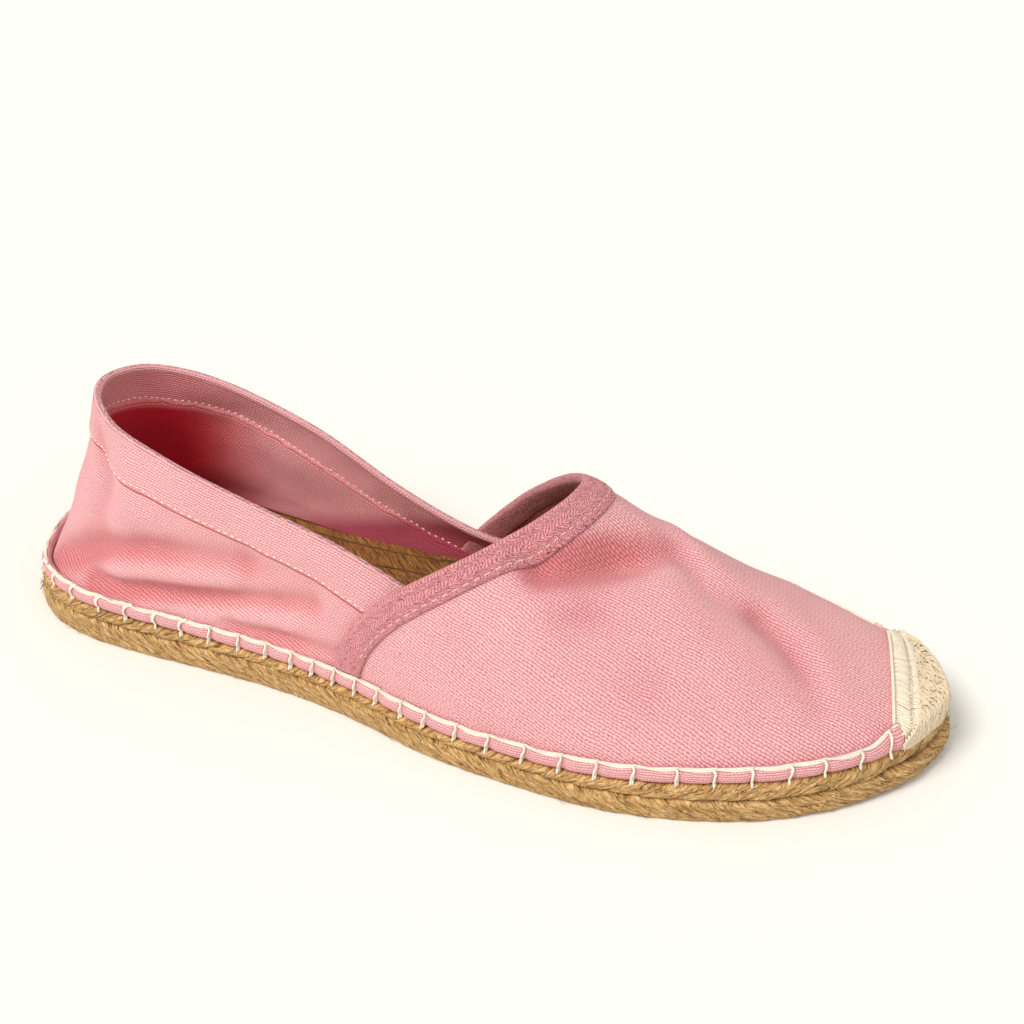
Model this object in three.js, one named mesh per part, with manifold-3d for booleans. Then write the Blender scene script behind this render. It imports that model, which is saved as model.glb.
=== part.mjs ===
// A right-foot canvas espadrille: a coiled jute sole, a slack hollow canvas upper, a folded tape
// along the throat and a thread-wrapped toe cap. Millimetres, +X to the toe, +Y to the inner
// (medial) side, +Z up, with the origin on the floor under the middle of the sole.
import * as THREE from "three";
import { mergeVertices } from "three/addons/utils/BufferGeometryUtils.js";
import Module from "manifold-3d";

const wasm = await Module();
wasm.setup();

// ---------------------------------------------------------------- driving dimensions
const LENGTH = 250; // heel to toe over the jute
const HALF = LENGTH / 2;
const INSTEP_HEIGHT = 57.5; // top of the throat above the floor
const FOOTBED = { edge: 9.4, dish: 1 }; // top of the jute under the foot, hollowed by wear
const FOOTBED_INSET = 10; // the footbed is flat inside this distance from the edge
const GAP = 0.35; // clearance between pieces that are sewn together
const CANVAS = 1.4; // wall of the upper
const SEAM_INSET = 2.6; // the upper's foot stands this far inside the edge of the sole
const HEM_ROLL = { height: 3.3, proud: 1.7 }; // the folded canvas edge above the jute
const HEM_TUCK = 1.2; // the heel piece passes this much further in, behind the vamp
const TAPE = { width: 7.4, thickness: 0.9, clearance: 0.4, innerReach: 5 };
const CAP = { thickness: 1.1, clearance: 0.4 };
const CAP_PRESS = { depth: 1.2, strands: 5, roll: 3 }; // how its threads pull in what they cover

// Half widths of the sole at stations along the foot, from the heel to the toe.
const OUTLINE = [
  { x: -120, lateral: 21, medial: 15.8 },
  { x: -112, lateral: 29, medial: 23 },
  { x: -100, lateral: 33.6, medial: 28.8 },
  { x: -86, lateral: 35, medial: 31 },
  { x: -66, lateral: 35.2, medial: 29.5 },
  { x: -42, lateral: 35.6, medial: 27.5 },
  { x: -18, lateral: 39, medial: 28.5 },
  { x: 6, lateral: 45, medial: 32.5 },
  { x: 30, lateral: 47.6, medial: 38 },
  { x: 52, lateral: 47.8, medial: 41.6 },
  { x: 72, lateral: 44, medial: 40.6 },
  { x: 90, lateral: 37.2, medial: 33.8 },
  { x: 103, lateral: 29, medial: 28.5 },
  { x: 113, lateral: 20, medial: 25 },
  { x: 120.5, lateral: 10.2, medial: 16.6 },
];
const TOE_TIP = { x: HALF, y: 4 };

// Height of the jute's upper edge along the foot: it is pressed thinner under the waist and ball.
const EDGE_HEIGHT = [
  { x: -125, z: 10.6 },
  { x: -80, z: 9.8 },
  { x: -40, z: 8.7 },
  { x: -10, z: 7.9 },
  { x: 30, z: 7.9 },
  { x: 55, z: 9.3 },
  { x: 85, z: 10.8 },
  { x: 125, z: 11.2 },
];

// The underside is flat but for the toe, which springs up, and the arch on the inner side.
const TOE_SPRING = { from: 80, rise: 1.8 };
const ARCH = { from: -62, to: 18, rise: 1.6, inner: 24, outer: 2 };

// The side of the sole is one braid stood on edge: two rows of strands with a groove between.
// rise is a share of the way from underside to edge, inset is measured in from the outline.
const BRAID_PROFILE = [
  { rise: 0, inset: 2.4 },
  { rise: 0.08, inset: 0.9 },
  { rise: 0.27, inset: 0 },
  { rise: 0.43, inset: 0.5 },
  { rise: 0.51, inset: 1.4 },
  { rise: 0.59, inset: 0.5 },
  { rise: 0.77, inset: 0 },
  { rise: 0.94, inset: 0.8 },
  { rise: 1, inset: 2.2 },
  { rise: 1, inset: 7 },
];

// Cross-sections of the vamp's form: the ridge's height and offset, and how full each flank is
// (an exponent: 1 is a straight slope, 2 an ellipse).
const VAMP = [
  { x: -25, top: 66, ridge: 0, lateralFull: 2.2, medialFull: 1.35 },
  { x: 5, top: 61, ridge: 1, lateralFull: 2.2, medialFull: 1.35 },
  { x: 30, top: INSTEP_HEIGHT, ridge: 2, lateralFull: 2.1, medialFull: 1.4 },
  { x: 42, top: 50.5, ridge: 3, lateralFull: 2, medialFull: 1.4 },
  { x: 58, top: 42.5, ridge: 3, lateralFull: 2, medialFull: 1.4 },
  { x: 72, top: 35.5, ridge: 3, lateralFull: 2, medialFull: 1.45 },
  { x: 85, top: 28.2, ridge: 3, lateralFull: 2, medialFull: 1.85 },
  { x: 100, top: 22.4, ridge: 4, lateralFull: 2, medialFull: 2.3 },
  { x: 110, top: 18.2, ridge: 5, lateralFull: 2, medialFull: 2.4 },
  { x: 118, top: 15.2, ridge: 5, lateralFull: 2, medialFull: 2.2 },
];
const VAMP_TIP_RISE = 2; // the vamp ends this far above the jute at the tip
const NOSE_FULL = 2; // and its section is this full there
const TAPE_LIFT = 0.2; // the tape stops this far above the hem roll
const THROAT = { lateralFoot: -22.5, medialFoot: -14, top: 30, sweep: 1.8 };

// The collar: the heel piece's upper edge, from under the vamp on the outer side, round the heel,
// to under the vamp on the inner side. The inner side has slumped lower.
const COLLAR = [
  { x: 6, y: -30, z: 31 },
  { x: -7, y: -28.5, z: 37 },
  { x: -28, y: -28, z: 45.5 },
  { x: -50, y: -28, z: 52 },
  { x: -72, y: -27, z: 58.5 },
  { x: -90, y: -20.3, z: 61 },
  { x: -101, y: -10, z: 61.8 },
  { x: -104.8, y: 1, z: 61.3 },
  { x: -101, y: 13, z: 59 },
  { x: -91, y: 20, z: 55.5 },
  { x: -77, y: 22.5, z: 51.3 },
  { x: -55, y: 23.3, z: 43 },
  { x: -31, y: 22.5, z: 30.5 },
  { x: -9, y: 23, z: 21.5 },
  { x: 5, y: 25.5, z: 18 },
];
const HEEL_PIECE_FRONT = { lateral: 6, medial: 5 }; // its front edges, hidden under the vamp
const WALL_BULGE = { sides: 1.5, back: -1.5 }; // how far the heel piece swells above the sole

const HEEL_BACK = { from: -118, to: -88 }; // where the wall turns from the back to the sides

// The ends of the toe cap's straight upper edge, on the vamp near its foot.
const CAP_EDGE = { lateral: { x: 113, y: -12 }, medial: { x: 105.5, y: 22 } };

// The cap's inner face where it turns down over the canvas's foot, to just above the jute: the inset
// from the outline and the height above the top edge of the jute.
const CAP_PROFILE = [
  { inset: 2.4, above: 4.2 },
  { inset: 1.9, above: 3 },
  { inset: 1.6, above: 1.9 },
  { inset: 1.5, above: 0.7 },
];

// ---------------------------------------------------------------- helpers
const WELD = 1e-3; // the grid that corners are moved to
const CUT_WELD = 5e-3; // the same after a cut, which leaves hair-thin triangles
const lerp = THREE.MathUtils.lerp;
const vec = (x, y, z) => new THREE.Vector3(x, y, z);

// Reads one column of a table of stations at x, with a smooth curve through the rows.
function column(table, name, x) {
  const last = table.length - 1;
  if (x <= table[0].x) return table[0][name];
  if (x >= table[last].x) return table[last][name];
  const i = table.findIndex((row) => row.x > x) - 1;
  const [a, b] = [table[i], table[i + 1]];
  const before = table[Math.max(i - 1, 0)];
  const after = table[Math.min(i + 2, last)];
  const span = b.x - a.x;
  const slopeIn = ((b[name] - before[name]) / (b.x - before.x)) * span;
  const slopeOut = ((after[name] - a[name]) / (after.x - a.x)) * span;
  const t = (x - a.x) / span;
  const rise = b[name] - a[name];
  return (
    a[name] +
    slopeIn * t +
    (3 * rise - 2 * slopeIn - slopeOut) * t * t +
    (slopeIn + slopeOut - 2 * rise) * t ** 3
  );
}

const edgeHeight = (x) => column(EDGE_HEIGHT, "z", x);

// The sole's closed outline in plan, anticlockwise from the heel along the outer side.
const outlineCurve = new THREE.CatmullRomCurve3(
  [
    vec(-HALF, 0, 0),
    ...OUTLINE.map((row) => vec(row.x, -row.lateral, 0)),
    vec(TOE_TIP.x, TOE_TIP.y, 0),
    ...OUTLINE.map((row) => vec(row.x, row.medial, 0)).reverse(),
  ],
  true,
  "centripetal",
);

// Points spaced evenly along the outline, moved in by inset.
function insetLoop(inset, count) {
  const points = outlineCurve.getSpacedPoints(count).slice(0, count);
  return points.map((p, i) => {
    const along = points[(i + 1) % count].clone().sub(points[(i + count - 1) % count]).normalize();
    return vec(p.x - along.y * inset, p.y + along.x * inset, 0);
  });
}

// The half widths at x of the outline moved in by inset. Past its ends the tip itself is returned.
const FINE = 720;
const fineLoops = new Map();
function halfWidths(inset, x) {
  if (!fineLoops.has(inset)) {
    const loop = insetLoop(inset, FINE);
    const tip = loop.reduce((a, b) => (b.x > a.x ? b : a));
    fineLoops.set(inset, { loop, tip });
  }
  const { loop, tip } = fineLoops.get(inset);
  if (x >= tip.x) return { lateral: -tip.y, medial: tip.y };
  const crossings = [];
  loop.forEach((a, i) => {
    const b = loop[(i + 1) % FINE];
    if (a.x <= x !== b.x <= x) crossings.push(lerp(a.y, b.y, (x - a.x) / (b.x - a.x)));
  });
  return { lateral: -Math.min(...crossings), medial: Math.max(...crossings) };
}
const loopTip = (inset) => (halfWidths(inset, 0), fineLoops.get(inset).tip);

// 0 behind the toe cap's straight edge, rising to 1 within a distance in front of it.
function underCap(x, y, within) {
  const { lateral, medial } = CAP_EDGE;
  const along = vec(medial.x - lateral.x, medial.y - lateral.y, 0).normalize();
  const ahead = (x - lateral.x) * along.y - (y - lateral.y) * along.x;
  return THREE.MathUtils.smoothstep(ahead, 0, within);
}

// A BufferGeometry from rows of points: side by side quads, closed round each row if looped.
function gridFaces(rows, push, looped = false) {
  for (let i = 0; i + 1 < rows.length; i++) {
    const n = rows[i].length;
    for (let j = 0; j < (looped ? n : n - 1); j++) {
      const k = (j + 1) % n;
      push(rows[i][j], rows[i][k], rows[i + 1][k]);
      push(rows[i][j], rows[i + 1][k], rows[i + 1][j]);
    }
  }
}

// Fills a closed ring of points with triangles that face up or down.
function capLoop(ring, push, up) {
  const flat = ring.map((p) => new THREE.Vector2(p.x, p.y));
  for (const [a, b, c] of THREE.ShapeUtils.triangulateShape(flat, []))
    up ? push(ring[a], ring[b], ring[c]) : push(ring[a], ring[c], ring[b]);
}

// A closed surface from a function that pushes its triangles, with shared corners merged,
// collapsed triangles dropped and its faces turned to point outwards.
function closedGeometry(fill) {
  const flat = [];
  fill((a, b, c) => flat.push(...a, ...b, ...c));
  const loose = new THREE.BufferGeometry();
  loose.setAttribute("position", new THREE.Float32BufferAttribute(flat, 3));
  const welded = weld(loose, WELD);
  if (signedVolume(welded) < 0) {
    const index = welded.index.array;
    for (let i = 0; i < index.length; i += 3) [index[i], index[i + 1]] = [index[i + 1], index[i]];
  }
  return welded;
}

// Moves every corner to the nearest point of a fine grid, merges those that meet there and drops
// the triangles that collapse.
function weld(geometry, pitch) {
  const position = geometry.attributes.position;
  position.array.forEach((value, i) => (position.array[i] = Math.round(value / pitch) * pitch));
  const merged = mergeVertices(geometry, pitch / 10);
  const index = merged.index.array;
  const kept = [];
  for (let i = 0; i < index.length; i += 3) {
    const [a, b, c] = index.slice(i, i + 3);
    if (a !== b && b !== c && c !== a) kept.push(a, b, c);
  }
  merged.setIndex(kept);
  return merged;
}

function signedVolume(geometry) {
  const p = geometry.attributes.position;
  const corner = [vec(), vec(), vec()];
  let six = 0;
  for (let i = 0; i < geometry.index.count; i += 3) {
    corner.forEach((v, k) => v.fromBufferAttribute(p, geometry.index.getX(i + k)));
    six += corner[0].dot(corner[1].clone().cross(corner[2]));
  }
  return six / 6;
}

const toSolid = (geometry) =>
  new wasm.Manifold(
    new wasm.Mesh({
      numProp: 3,
      vertProperties: geometry.attributes.position.array,
      triVerts: new Uint32Array(geometry.index.array),
    }),
  );

function geometryOf(solid) {
  const mesh = solid.getMesh();
  const geometry = new THREE.BufferGeometry();
  geometry.setAttribute("position", new THREE.BufferAttribute(mesh.vertProperties, 3));
  geometry.setIndex(new THREE.BufferAttribute(mesh.triVerts, 1));
  return geometry;
}

// A cut solid as a BufferGeometry, without the hair-thin triangles and crumbs that a cut leaves.
function fromSolid(solid) {
  const welded = toSolid(weld(geometryOf(solid), CUT_WELD));
  const [largest] = welded.decompose().sort((a, b) => b.volume() - a.volume());
  return geometryOf(largest);
}

// A sheet with thickness: an outer and an inner grid of the same size, joined round their edges.
// Where each grid's last row folds back on itself, as at the tip of the toe, it closes unaided.
function sheetGeometry(outer, inner, foldedEnd = false) {
  return closedGeometry((push) => {
    gridFaces(outer, push);
    gridFaces(inner, (a, b, c) => push(a, c, b));
    const last = outer.length - 1;
    const columnOf = (grid, j) => grid.map((row) => row[j]);
    const end = outer[0].length - 1;
    gridFaces([inner[0], outer[0]], push);
    if (!foldedEnd) gridFaces([outer[last], inner[last]], push);
    gridFaces([columnOf(outer, 0), columnOf(inner, 0)], push);
    gridFaces([columnOf(inner, end), columnOf(outer, end)], push);
  });
}

const steps = (count, make) => Array.from({ length: count + 1 }, (_, i) => make(i / count));

// ---------------------------------------------------------------- sole
const SOLE_POINTS = 88;
const ACROSS = [0, 0.15, 0.35, 0.65, 0.85, 1]; // shares of the way across a face of the sole

// The height of the underside above the floor.
function undersideHeight(x, y) {
  const { smoothstep, clamp } = THREE.MathUtils;
  const toe = clamp((x - TOE_SPRING.from) / (HALF - TOE_SPRING.from), 0, 1);
  const along = clamp((x - ARCH.from) / (ARCH.to - ARCH.from), 0, 1);
  const arch = Math.sin(Math.PI * along) ** 2 * smoothstep(y, ARCH.outer, ARCH.inner);
  return TOE_SPRING.rise * toe ** 2 + ARCH.rise * arch;
}

// The height of the footbed at a share of the way across it, hollowed along its middle.
const footbedHeight = (x, share) =>
  FOOTBED.edge - FOOTBED.dish * (1 - (x / HALF) ** 4) * Math.sin(Math.PI * share) ** 2;

// Fills a ring of the sole, facing down, with rows that run across it from outer to inner side.
function soleFace(ring, heightAt, push) {
  const half = ring.length / 2;
  const rows = steps(half, (t) => {
    const i = Math.round(t * half);
    const [outer, inner] = [ring[i], ring[(ring.length - i) % ring.length]];
    return ACROSS.map((share) => {
      const p = outer.clone().lerp(inner, share);
      return outer === inner || share === 0 || share === 1 ? p : p.setZ(heightAt(p, share));
    });
  });
  gridFaces(rows, push);
}

function soleGeometry() {
  const { depth, strands } = CAP_PRESS;
  const rings = BRAID_PROFILE.map(({ rise, inset }) => {
    const pressed = insetLoop(inset + depth * THREE.MathUtils.smoothstep(rise, 0.3, 0.6), SOLE_POINTS);
    return insetLoop(inset, SOLE_POINTS).map((p, i) => {
      const at = p.clone().lerp(pressed[i], underCap(p.x, p.y, strands));
      return at.setZ(lerp(undersideHeight(at.x, at.y), edgeHeight(at.x), rise));
    });
  });
  const footbed = insetLoop(FOOTBED_INSET, SOLE_POINTS).map((p) => p.setZ(FOOTBED.edge));
  return closedGeometry((push) => {
    gridFaces([...rings, footbed], push, true);
    soleFace(rings[0], (p) => undersideHeight(p.x, p.y), push);
    soleFace(footbed, (p, share) => footbedHeight(p.x, share), (a, b, c) => push(a, c, b));
  });
}

// ---------------------------------------------------------------- upper
// How far the folded hem stands out at a height above the upper's foot. The toe cap presses it flat.
function rollOut(x, y, height) {
  if (height > HEM_ROLL.height) return 0;
  const free = 1 - underCap(x, y, CAP_PRESS.roll);
  return free * HEM_ROLL.proud * Math.sin((Math.PI * height) / HEM_ROLL.height);
}

// The vamp's cross-section at x, moved in from the outside by depth. Towards the tip it shrinks
// round the nose.
function vampSection(x, depth) {
  const inset = SEAM_INSET + depth;
  const tip = loopTip(inset);
  const lastRow = VAMP[VAMP.length - 1];
  const toTip = THREE.MathUtils.clamp((x - lastRow.x) / (tip.x - lastRow.x), 0, 1);
  const nose = Math.sqrt(1 - toTip * toTip);
  const foot = edgeHeight(x) + GAP;
  const top = lerp(foot + VAMP_TIP_RISE, column(VAMP, "top", x), nose) - depth;
  const ridge = lerp(tip.y, column(VAMP, "ridge", x), nose);
  const lateralFull = lerp(NOSE_FULL, column(VAMP, "lateralFull", x), nose);
  const medialFull = lerp(NOSE_FULL, column(VAMP, "medialFull", x), nose);
  return { foot, top, ridge, nose, lateralFull, medialFull, ...halfWidths(inset, x) };
}

// A point of the vamp's form at x and an angle over the foot: 0 at the outer side's foot, 90
// degrees on the ridge, 180 at the inner side's foot.
function vampPoint(x, angle, depth) {
  const { foot, top, ridge, nose, lateral, medial, lateralFull, medialFull } = vampSection(x, depth);
  const outer = angle < Math.PI / 2;
  const power = 2 / (outer ? lateralFull : medialFull);
  const across = Math.abs(Math.cos(angle)) ** power;
  const z = lerp(foot, top, Math.max(Math.sin(angle), 0) ** power);
  const y = lerp(ridge, outer ? -lateral : medial, across);
  const roll = depth > 0 ? 0 : rollOut(x, y, z - foot) * nose;
  return vec(x, outer ? y - roll : y + roll, z);
}

// The height of the same form over a point of the plan.
function vampHeight(x, y) {
  const { foot, top, ridge, lateral, medial, lateralFull, medialFull } = vampSection(x, 0);
  const outer = y < ridge;
  const full = outer ? lateralFull : medialFull;
  const side = outer ? -lateral : medial;
  const across = THREE.MathUtils.clamp((y - ridge) / (side - ridge), 0, 1);
  return lerp(foot, top, (1 - across ** full) ** (1 / full));
}

// The vamp's rear edge as an x for each angle: it sweeps from the feet up to the throat's top.
function throatX(angle) {
  const foot = angle < Math.PI / 2 ? THROAT.lateralFoot : THROAT.medialFoot;
  return lerp(foot, THROAT.top, Math.max(Math.sin(angle), 0) ** THROAT.sweep);
}

// Angles over the vamp, closer together near the two feet where the hem roll is.
const VAMP_ANGLES = steps(34, (t) => Math.PI * (t - 0.07 * Math.sin(2 * Math.PI * t)));
const VAMP_ROWS = steps(20, (t) => Math.sin((Math.PI / 2) * t));

// How far forward along x the tape must reach for its width square to the slanting edge.
function tapeReach(angle) {
  const step = 0.01;
  const [low, high] = [Math.max(angle - step, 0), Math.min(angle + step, Math.PI)];
  const onEdge = (a) => vampPoint(throatX(a), a, 0);
  const along = onEdge(high).sub(onEdge(low));
  const forward = vampPoint(throatX(angle) + 1, angle, 0).sub(onEdge(angle));
  return 1 / Math.max(Math.sin(along.angleTo(forward)), 0.4);
}

// A line across the vamp a set way forward of the throat's edge, at a depth in from the outside.
const bandLine = (forward, depth, angles) =>
  angles.map((angle) => {
    const reach = forward > 0 ? tapeReach(angle) : 1;
    return vampPoint(throatX(angle) + forward * reach, angle, depth);
  });

function vampGeometry() {
  const grid = (depth) => {
    const band = [0, 0.5].map((share) => bandLine(share * TAPE.width, depth, VAMP_ANGLES));
    const tip = loopTip(SEAM_INSET + depth).x;
    const body = VAMP_ROWS.map((share) =>
      VAMP_ANGLES.map((angle) => {
        const start = throatX(angle) + TAPE.width * tapeReach(angle);
        return vampPoint(lerp(start, tip, share), angle, depth);
      }),
    );
    return [...band, ...body];
  };
  return sheetGeometry(grid(0), grid(CANVAS), true);
}

// The part of a loop that runs from the outer side's front, round the heel, to the inner side's.
function heelLine(inset) {
  const from = outlineCurve.points;
  const loop = insetLoop(inset, FINE);
  const { lateral, medial } = HEEL_PIECE_FRONT;
  const outer = loop.filter((p) => p.y < 0 && p.x < lateral && p.x > from[0].x).reverse();
  const inner = loop.filter((p) => p.y >= 0 && p.x < medial).reverse();
  return new THREE.CatmullRomCurve3([...outer, ...inner].filter((_, i) => i % 12 === 0));
}

const collarCurve = new THREE.CatmullRomCurve3(COLLAR.map(({ x, y, z }) => vec(x, y, z)));
const HEEL_COLUMNS = 60;
const HEEL_ROWS = [0, 0.03, 0.06, 0.09, 0.17, 0.3, 0.45, 0.6, 0.75, 0.88, 1];

// The heel piece's wall as rows of points from the foot to the collar, moved in by depth.
function heelPieceGrid(depth, rise = 0) {
  const collar = collarCurve.getSpacedPoints(HEEL_COLUMNS);
  const foot = heelLine(SEAM_INSET + HEM_TUCK + depth).getSpacedPoints(HEEL_COLUMNS);
  const outwards = foot.map((p, i) => {
    const along = foot[Math.min(i + 1, HEEL_COLUMNS)].clone().sub(foot[Math.max(i - 1, 0)]);
    return vec(-along.y, along.x, 0).normalize();
  });
  return HEEL_ROWS.map((t) =>
    foot.map((p, i) => {
      const start = vec(p.x, p.y, edgeHeight(p.x) + GAP);
      const point = start.clone().lerp(collar[i], t);
      const swell = wallBulge(p.x) * Math.sin(Math.PI * t) + HEM_TUCK * (1 - t) * clear(p.x);
      const roll = depth > 0 ? 0 : rollOut(p.x, p.y, point.z - start.z);
      point.z += rise * t;
      return point.addScaledVector(outwards[i], swell + roll - depth * t);
    }),
  );
}

const heelPieceGeometry = () => sheetGeometry(heelPieceGrid(0), heelPieceGrid(CANVAS));

// 1 behind the vamp's foot, where nothing covers the heel piece, and 0 under the vamp.
const clear = (x) => THREE.MathUtils.smoothstep(-x, -THROAT.lateralFoot - 4, -THROAT.lateralFoot + 8);
const wallBulge = (x) =>
  lerp(WALL_BULGE.back, WALL_BULGE.sides, THREE.MathUtils.smoothstep(x, HEEL_BACK.from, HEEL_BACK.to));

const upperGeometry = () =>
  fromSolid(toSolid(vampGeometry()).add(toSolid(heelPieceGeometry())));

// ---------------------------------------------------------------- throat tape
// The band of the vamp behind a line set forward of the throat's edge, grown on all its sides. Its
// rear edge is rounded, as a folded strip's is.
function bandForm(growth, lines, lift) {
  const middle = CANVAS / 2;
  const rows = [
    { at: -growth, half: 0.45 },
    { at: -0.6 * growth, half: 0.85 },
    ...lines.map((at) => ({ at, half: 1 })),
  ];
  const angles = VAMP_ANGLES.filter((angle) => {
    const { x, z } = vampPoint(throatX(angle), angle, 0);
    return z > edgeHeight(x) + GAP + lift;
  });
  const side = (sign) =>
    rows.map(({ at, half }) => bandLine(at, middle + sign * half * (middle + growth), angles));
  return toSolid(sheetGeometry(side(-1), side(1)));
}

function throatTapeGeometry() {
  const { width, thickness, clearance, innerReach } = TAPE;
  const lines = [0, width / 2, width];
  const room = bandForm(clearance, [...lines, width + thickness], 0);
  const fold = bandForm(clearance + thickness, lines, HEM_ROLL.height + TAPE_LIFT).subtract(room);
  const heelRoom = sheetGeometry(
    heelPieceGrid(-clearance, clearance),
    heelPieceGrid(innerReach, clearance),
  );
  return fromSolid(fold.subtract(toSolid(heelRoom)));
}

// ---------------------------------------------------------------- toe cap
const CAP_COLUMNS = 28;
const CAP_TOP_ROWS = 6;

// The cap's face grown outwards from the toe: columns run from its straight edge on the vamp,
// over the top, and down to the jute.
function capGrid(growth) {
  const outline = insetLoop(0, FINE);
  const nearest = ({ x, y }) => {
    const away = outline.map((p) => Math.hypot(p.x - x, p.y - y));
    return away.indexOf(Math.min(...away));
  };
  const [first, last] = [nearest(CAP_EDGE.lateral), nearest(CAP_EDGE.medial)];
  const [outerEnd, innerEnd] = [CAP_EDGE.lateral, CAP_EDGE.medial].map(({ x, y }) => vec(x, y, 0));
  const profile = CAP_PROFILE.map(({ inset, above }) => ({ above, loop: insetLoop(inset - growth, FINE) }));
  const columns = steps(CAP_COLUMNS, (t) => {
    const i = Math.round(lerp(first, last, t));
    const shoulder = profile[0].loop[i];
    const top = steps(CAP_TOP_ROWS, (share) => {
      const p = outerEnd.clone().lerp(innerEnd, t).lerp(shoulder, share);
      const height = Math.max(vampHeight(p.x, p.y), edgeHeight(p.x) + CAP_PROFILE[0].above);
      return p.setZ(height + CAP.clearance + growth);
    });
    const side = profile.slice(1).map(({ above, loop }, row) => {
      const lift = (CAP.clearance + growth) * (1 - (row + 1) / (profile.length - 1));
      return loop[i].clone().setZ(edgeHeight(loop[i].x) + above + lift);
    });
    return [...top, ...side];
  });
  return columns;
}

const toeCapGeometry = () => sheetGeometry(capGrid(CAP.thickness), capGrid(0));

// ---------------------------------------------------------------- assembly
function piece(name, geometry, color, roughness) {
  geometry.computeVertexNormals();
  const material = new THREE.MeshStandardMaterial({ color, roughness, metalness: 0 });
  const mesh = new THREE.Mesh(geometry, material);
  mesh.name = name;
  return mesh;
}

const JUTE = 0xb08a52;
const PINK_CANVAS = 0xe88f98;
const PINK_TAPE = 0xdf8590;
const COTTON_THREAD = 0xe6d9c0;

const espadrille = new THREE.Group();
espadrille.add(
  piece("jute_sole", soleGeometry(), JUTE, 0.95),
  piece("upper", upperGeometry(), PINK_CANVAS, 0.9),
  piece("throat_tape", throatTapeGeometry(), PINK_TAPE, 0.9),
  piece("toe_cap", toeCapGeometry(), COTTON_THREAD, 0.9),
);

// Stands the whole shoe over the origin, which is under the middle of its box.
const box = new THREE.Box3().setFromObject(espadrille);
const middle = box.getCenter(vec());
espadrille.position.set(-middle.x, -middle.y, -box.min.z);

export default espadrille;
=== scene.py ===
"""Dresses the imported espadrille: braided jute, pink canvas, twill tape and cotton thread.

The forms repeat the frame's own sections. They are given in millimetres, in the last's coordinates:
+x to the toe, +y to the inner side and z up from the floor. Last.place() moves them to the row frame,
in metres.
"""

from __future__ import annotations

import bisect
import functools
import logging
import math
import random
from dataclasses import dataclass, field
from enum import Enum
from typing import Callable, NamedTuple, Sequence

import bmesh
import bpy
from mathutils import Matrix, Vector, noise
from mathutils.kdtree import KDTree


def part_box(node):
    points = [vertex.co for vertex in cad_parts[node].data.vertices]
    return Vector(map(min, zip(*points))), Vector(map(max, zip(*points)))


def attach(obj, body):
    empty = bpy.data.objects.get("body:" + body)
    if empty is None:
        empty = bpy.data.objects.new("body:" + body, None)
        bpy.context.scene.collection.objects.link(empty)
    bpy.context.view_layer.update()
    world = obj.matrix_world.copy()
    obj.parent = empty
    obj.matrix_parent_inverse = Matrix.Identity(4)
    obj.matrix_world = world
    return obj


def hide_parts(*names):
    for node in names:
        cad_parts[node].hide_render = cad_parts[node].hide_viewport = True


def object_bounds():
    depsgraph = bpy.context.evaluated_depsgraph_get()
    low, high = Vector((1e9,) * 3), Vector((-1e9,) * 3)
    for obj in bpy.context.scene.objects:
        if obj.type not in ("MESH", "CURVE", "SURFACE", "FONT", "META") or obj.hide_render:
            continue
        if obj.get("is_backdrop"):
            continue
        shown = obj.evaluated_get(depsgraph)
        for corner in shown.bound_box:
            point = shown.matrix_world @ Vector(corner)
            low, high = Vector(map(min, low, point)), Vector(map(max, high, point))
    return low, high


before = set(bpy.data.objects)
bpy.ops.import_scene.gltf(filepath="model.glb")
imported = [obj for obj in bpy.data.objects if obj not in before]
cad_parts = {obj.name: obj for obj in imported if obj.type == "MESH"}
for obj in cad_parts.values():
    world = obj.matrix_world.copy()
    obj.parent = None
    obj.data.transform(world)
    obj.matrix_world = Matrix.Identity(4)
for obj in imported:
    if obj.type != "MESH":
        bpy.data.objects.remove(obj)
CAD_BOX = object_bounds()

MM = 0.001
BODY = "root"
FLOW = "flow"  # the attribute that carries along, across and relief to the finishes
Colour = tuple[float, float, float]

log = logging.getLogger("espadrille")


# ------------------------------------------------------------------------------- plain helpers
def lerp(a: float, b: float, t: float) -> float:
    """Reads the straight line from a to b at t."""
    return a + (b - a) * t


def clamp(value: float, low: float = 0.0, high: float = 1.0) -> float:
    """Keeps a value between two limits."""
    return max(low, min(high, value))


def smoothstep(value: float, low: float, high: float) -> float:
    """Rises smoothly from 0 at low to 1 at high."""
    t = clamp((value - low) / (high - low))
    return t * t * (3 - 2 * t)


class Track:
    """A smooth line through a table's rows, which gives a value for each x."""

    def __init__(self, xs: Sequence[float], values: Sequence[float]) -> None:
        """Keeps the rows and works out the slope at each.

        Args:
            xs: The rows' places, rising.
            values: The rows' values.
        """
        self.xs, self.values = list(xs), list(values)
        last = len(self.xs) - 1
        self.slopes = []
        for i in range(last + 1):
            a, b = max(i - 1, 0), min(i + 1, last)
            self.slopes.append((values[b] - values[a]) / (xs[b] - xs[a]))

    def __call__(self, x: float) -> float:
        """Reads the line at x. Past its ends it stays level."""
        if x <= self.xs[0]:
            return self.values[0]
        if x >= self.xs[-1]:
            return self.values[-1]
        i = bisect.bisect_right(self.xs, x) - 1
        span = self.xs[i + 1] - self.xs[i]
        t = (x - self.xs[i]) / span
        a, rise = self.values[i], self.values[i + 1] - self.values[i]
        start, end = self.slopes[i] * span, self.slopes[i + 1] * span
        return a + start * t + (3 * rise - 2 * start - end) * t * t + (start + end - 2 * rise) * t**3


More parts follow.
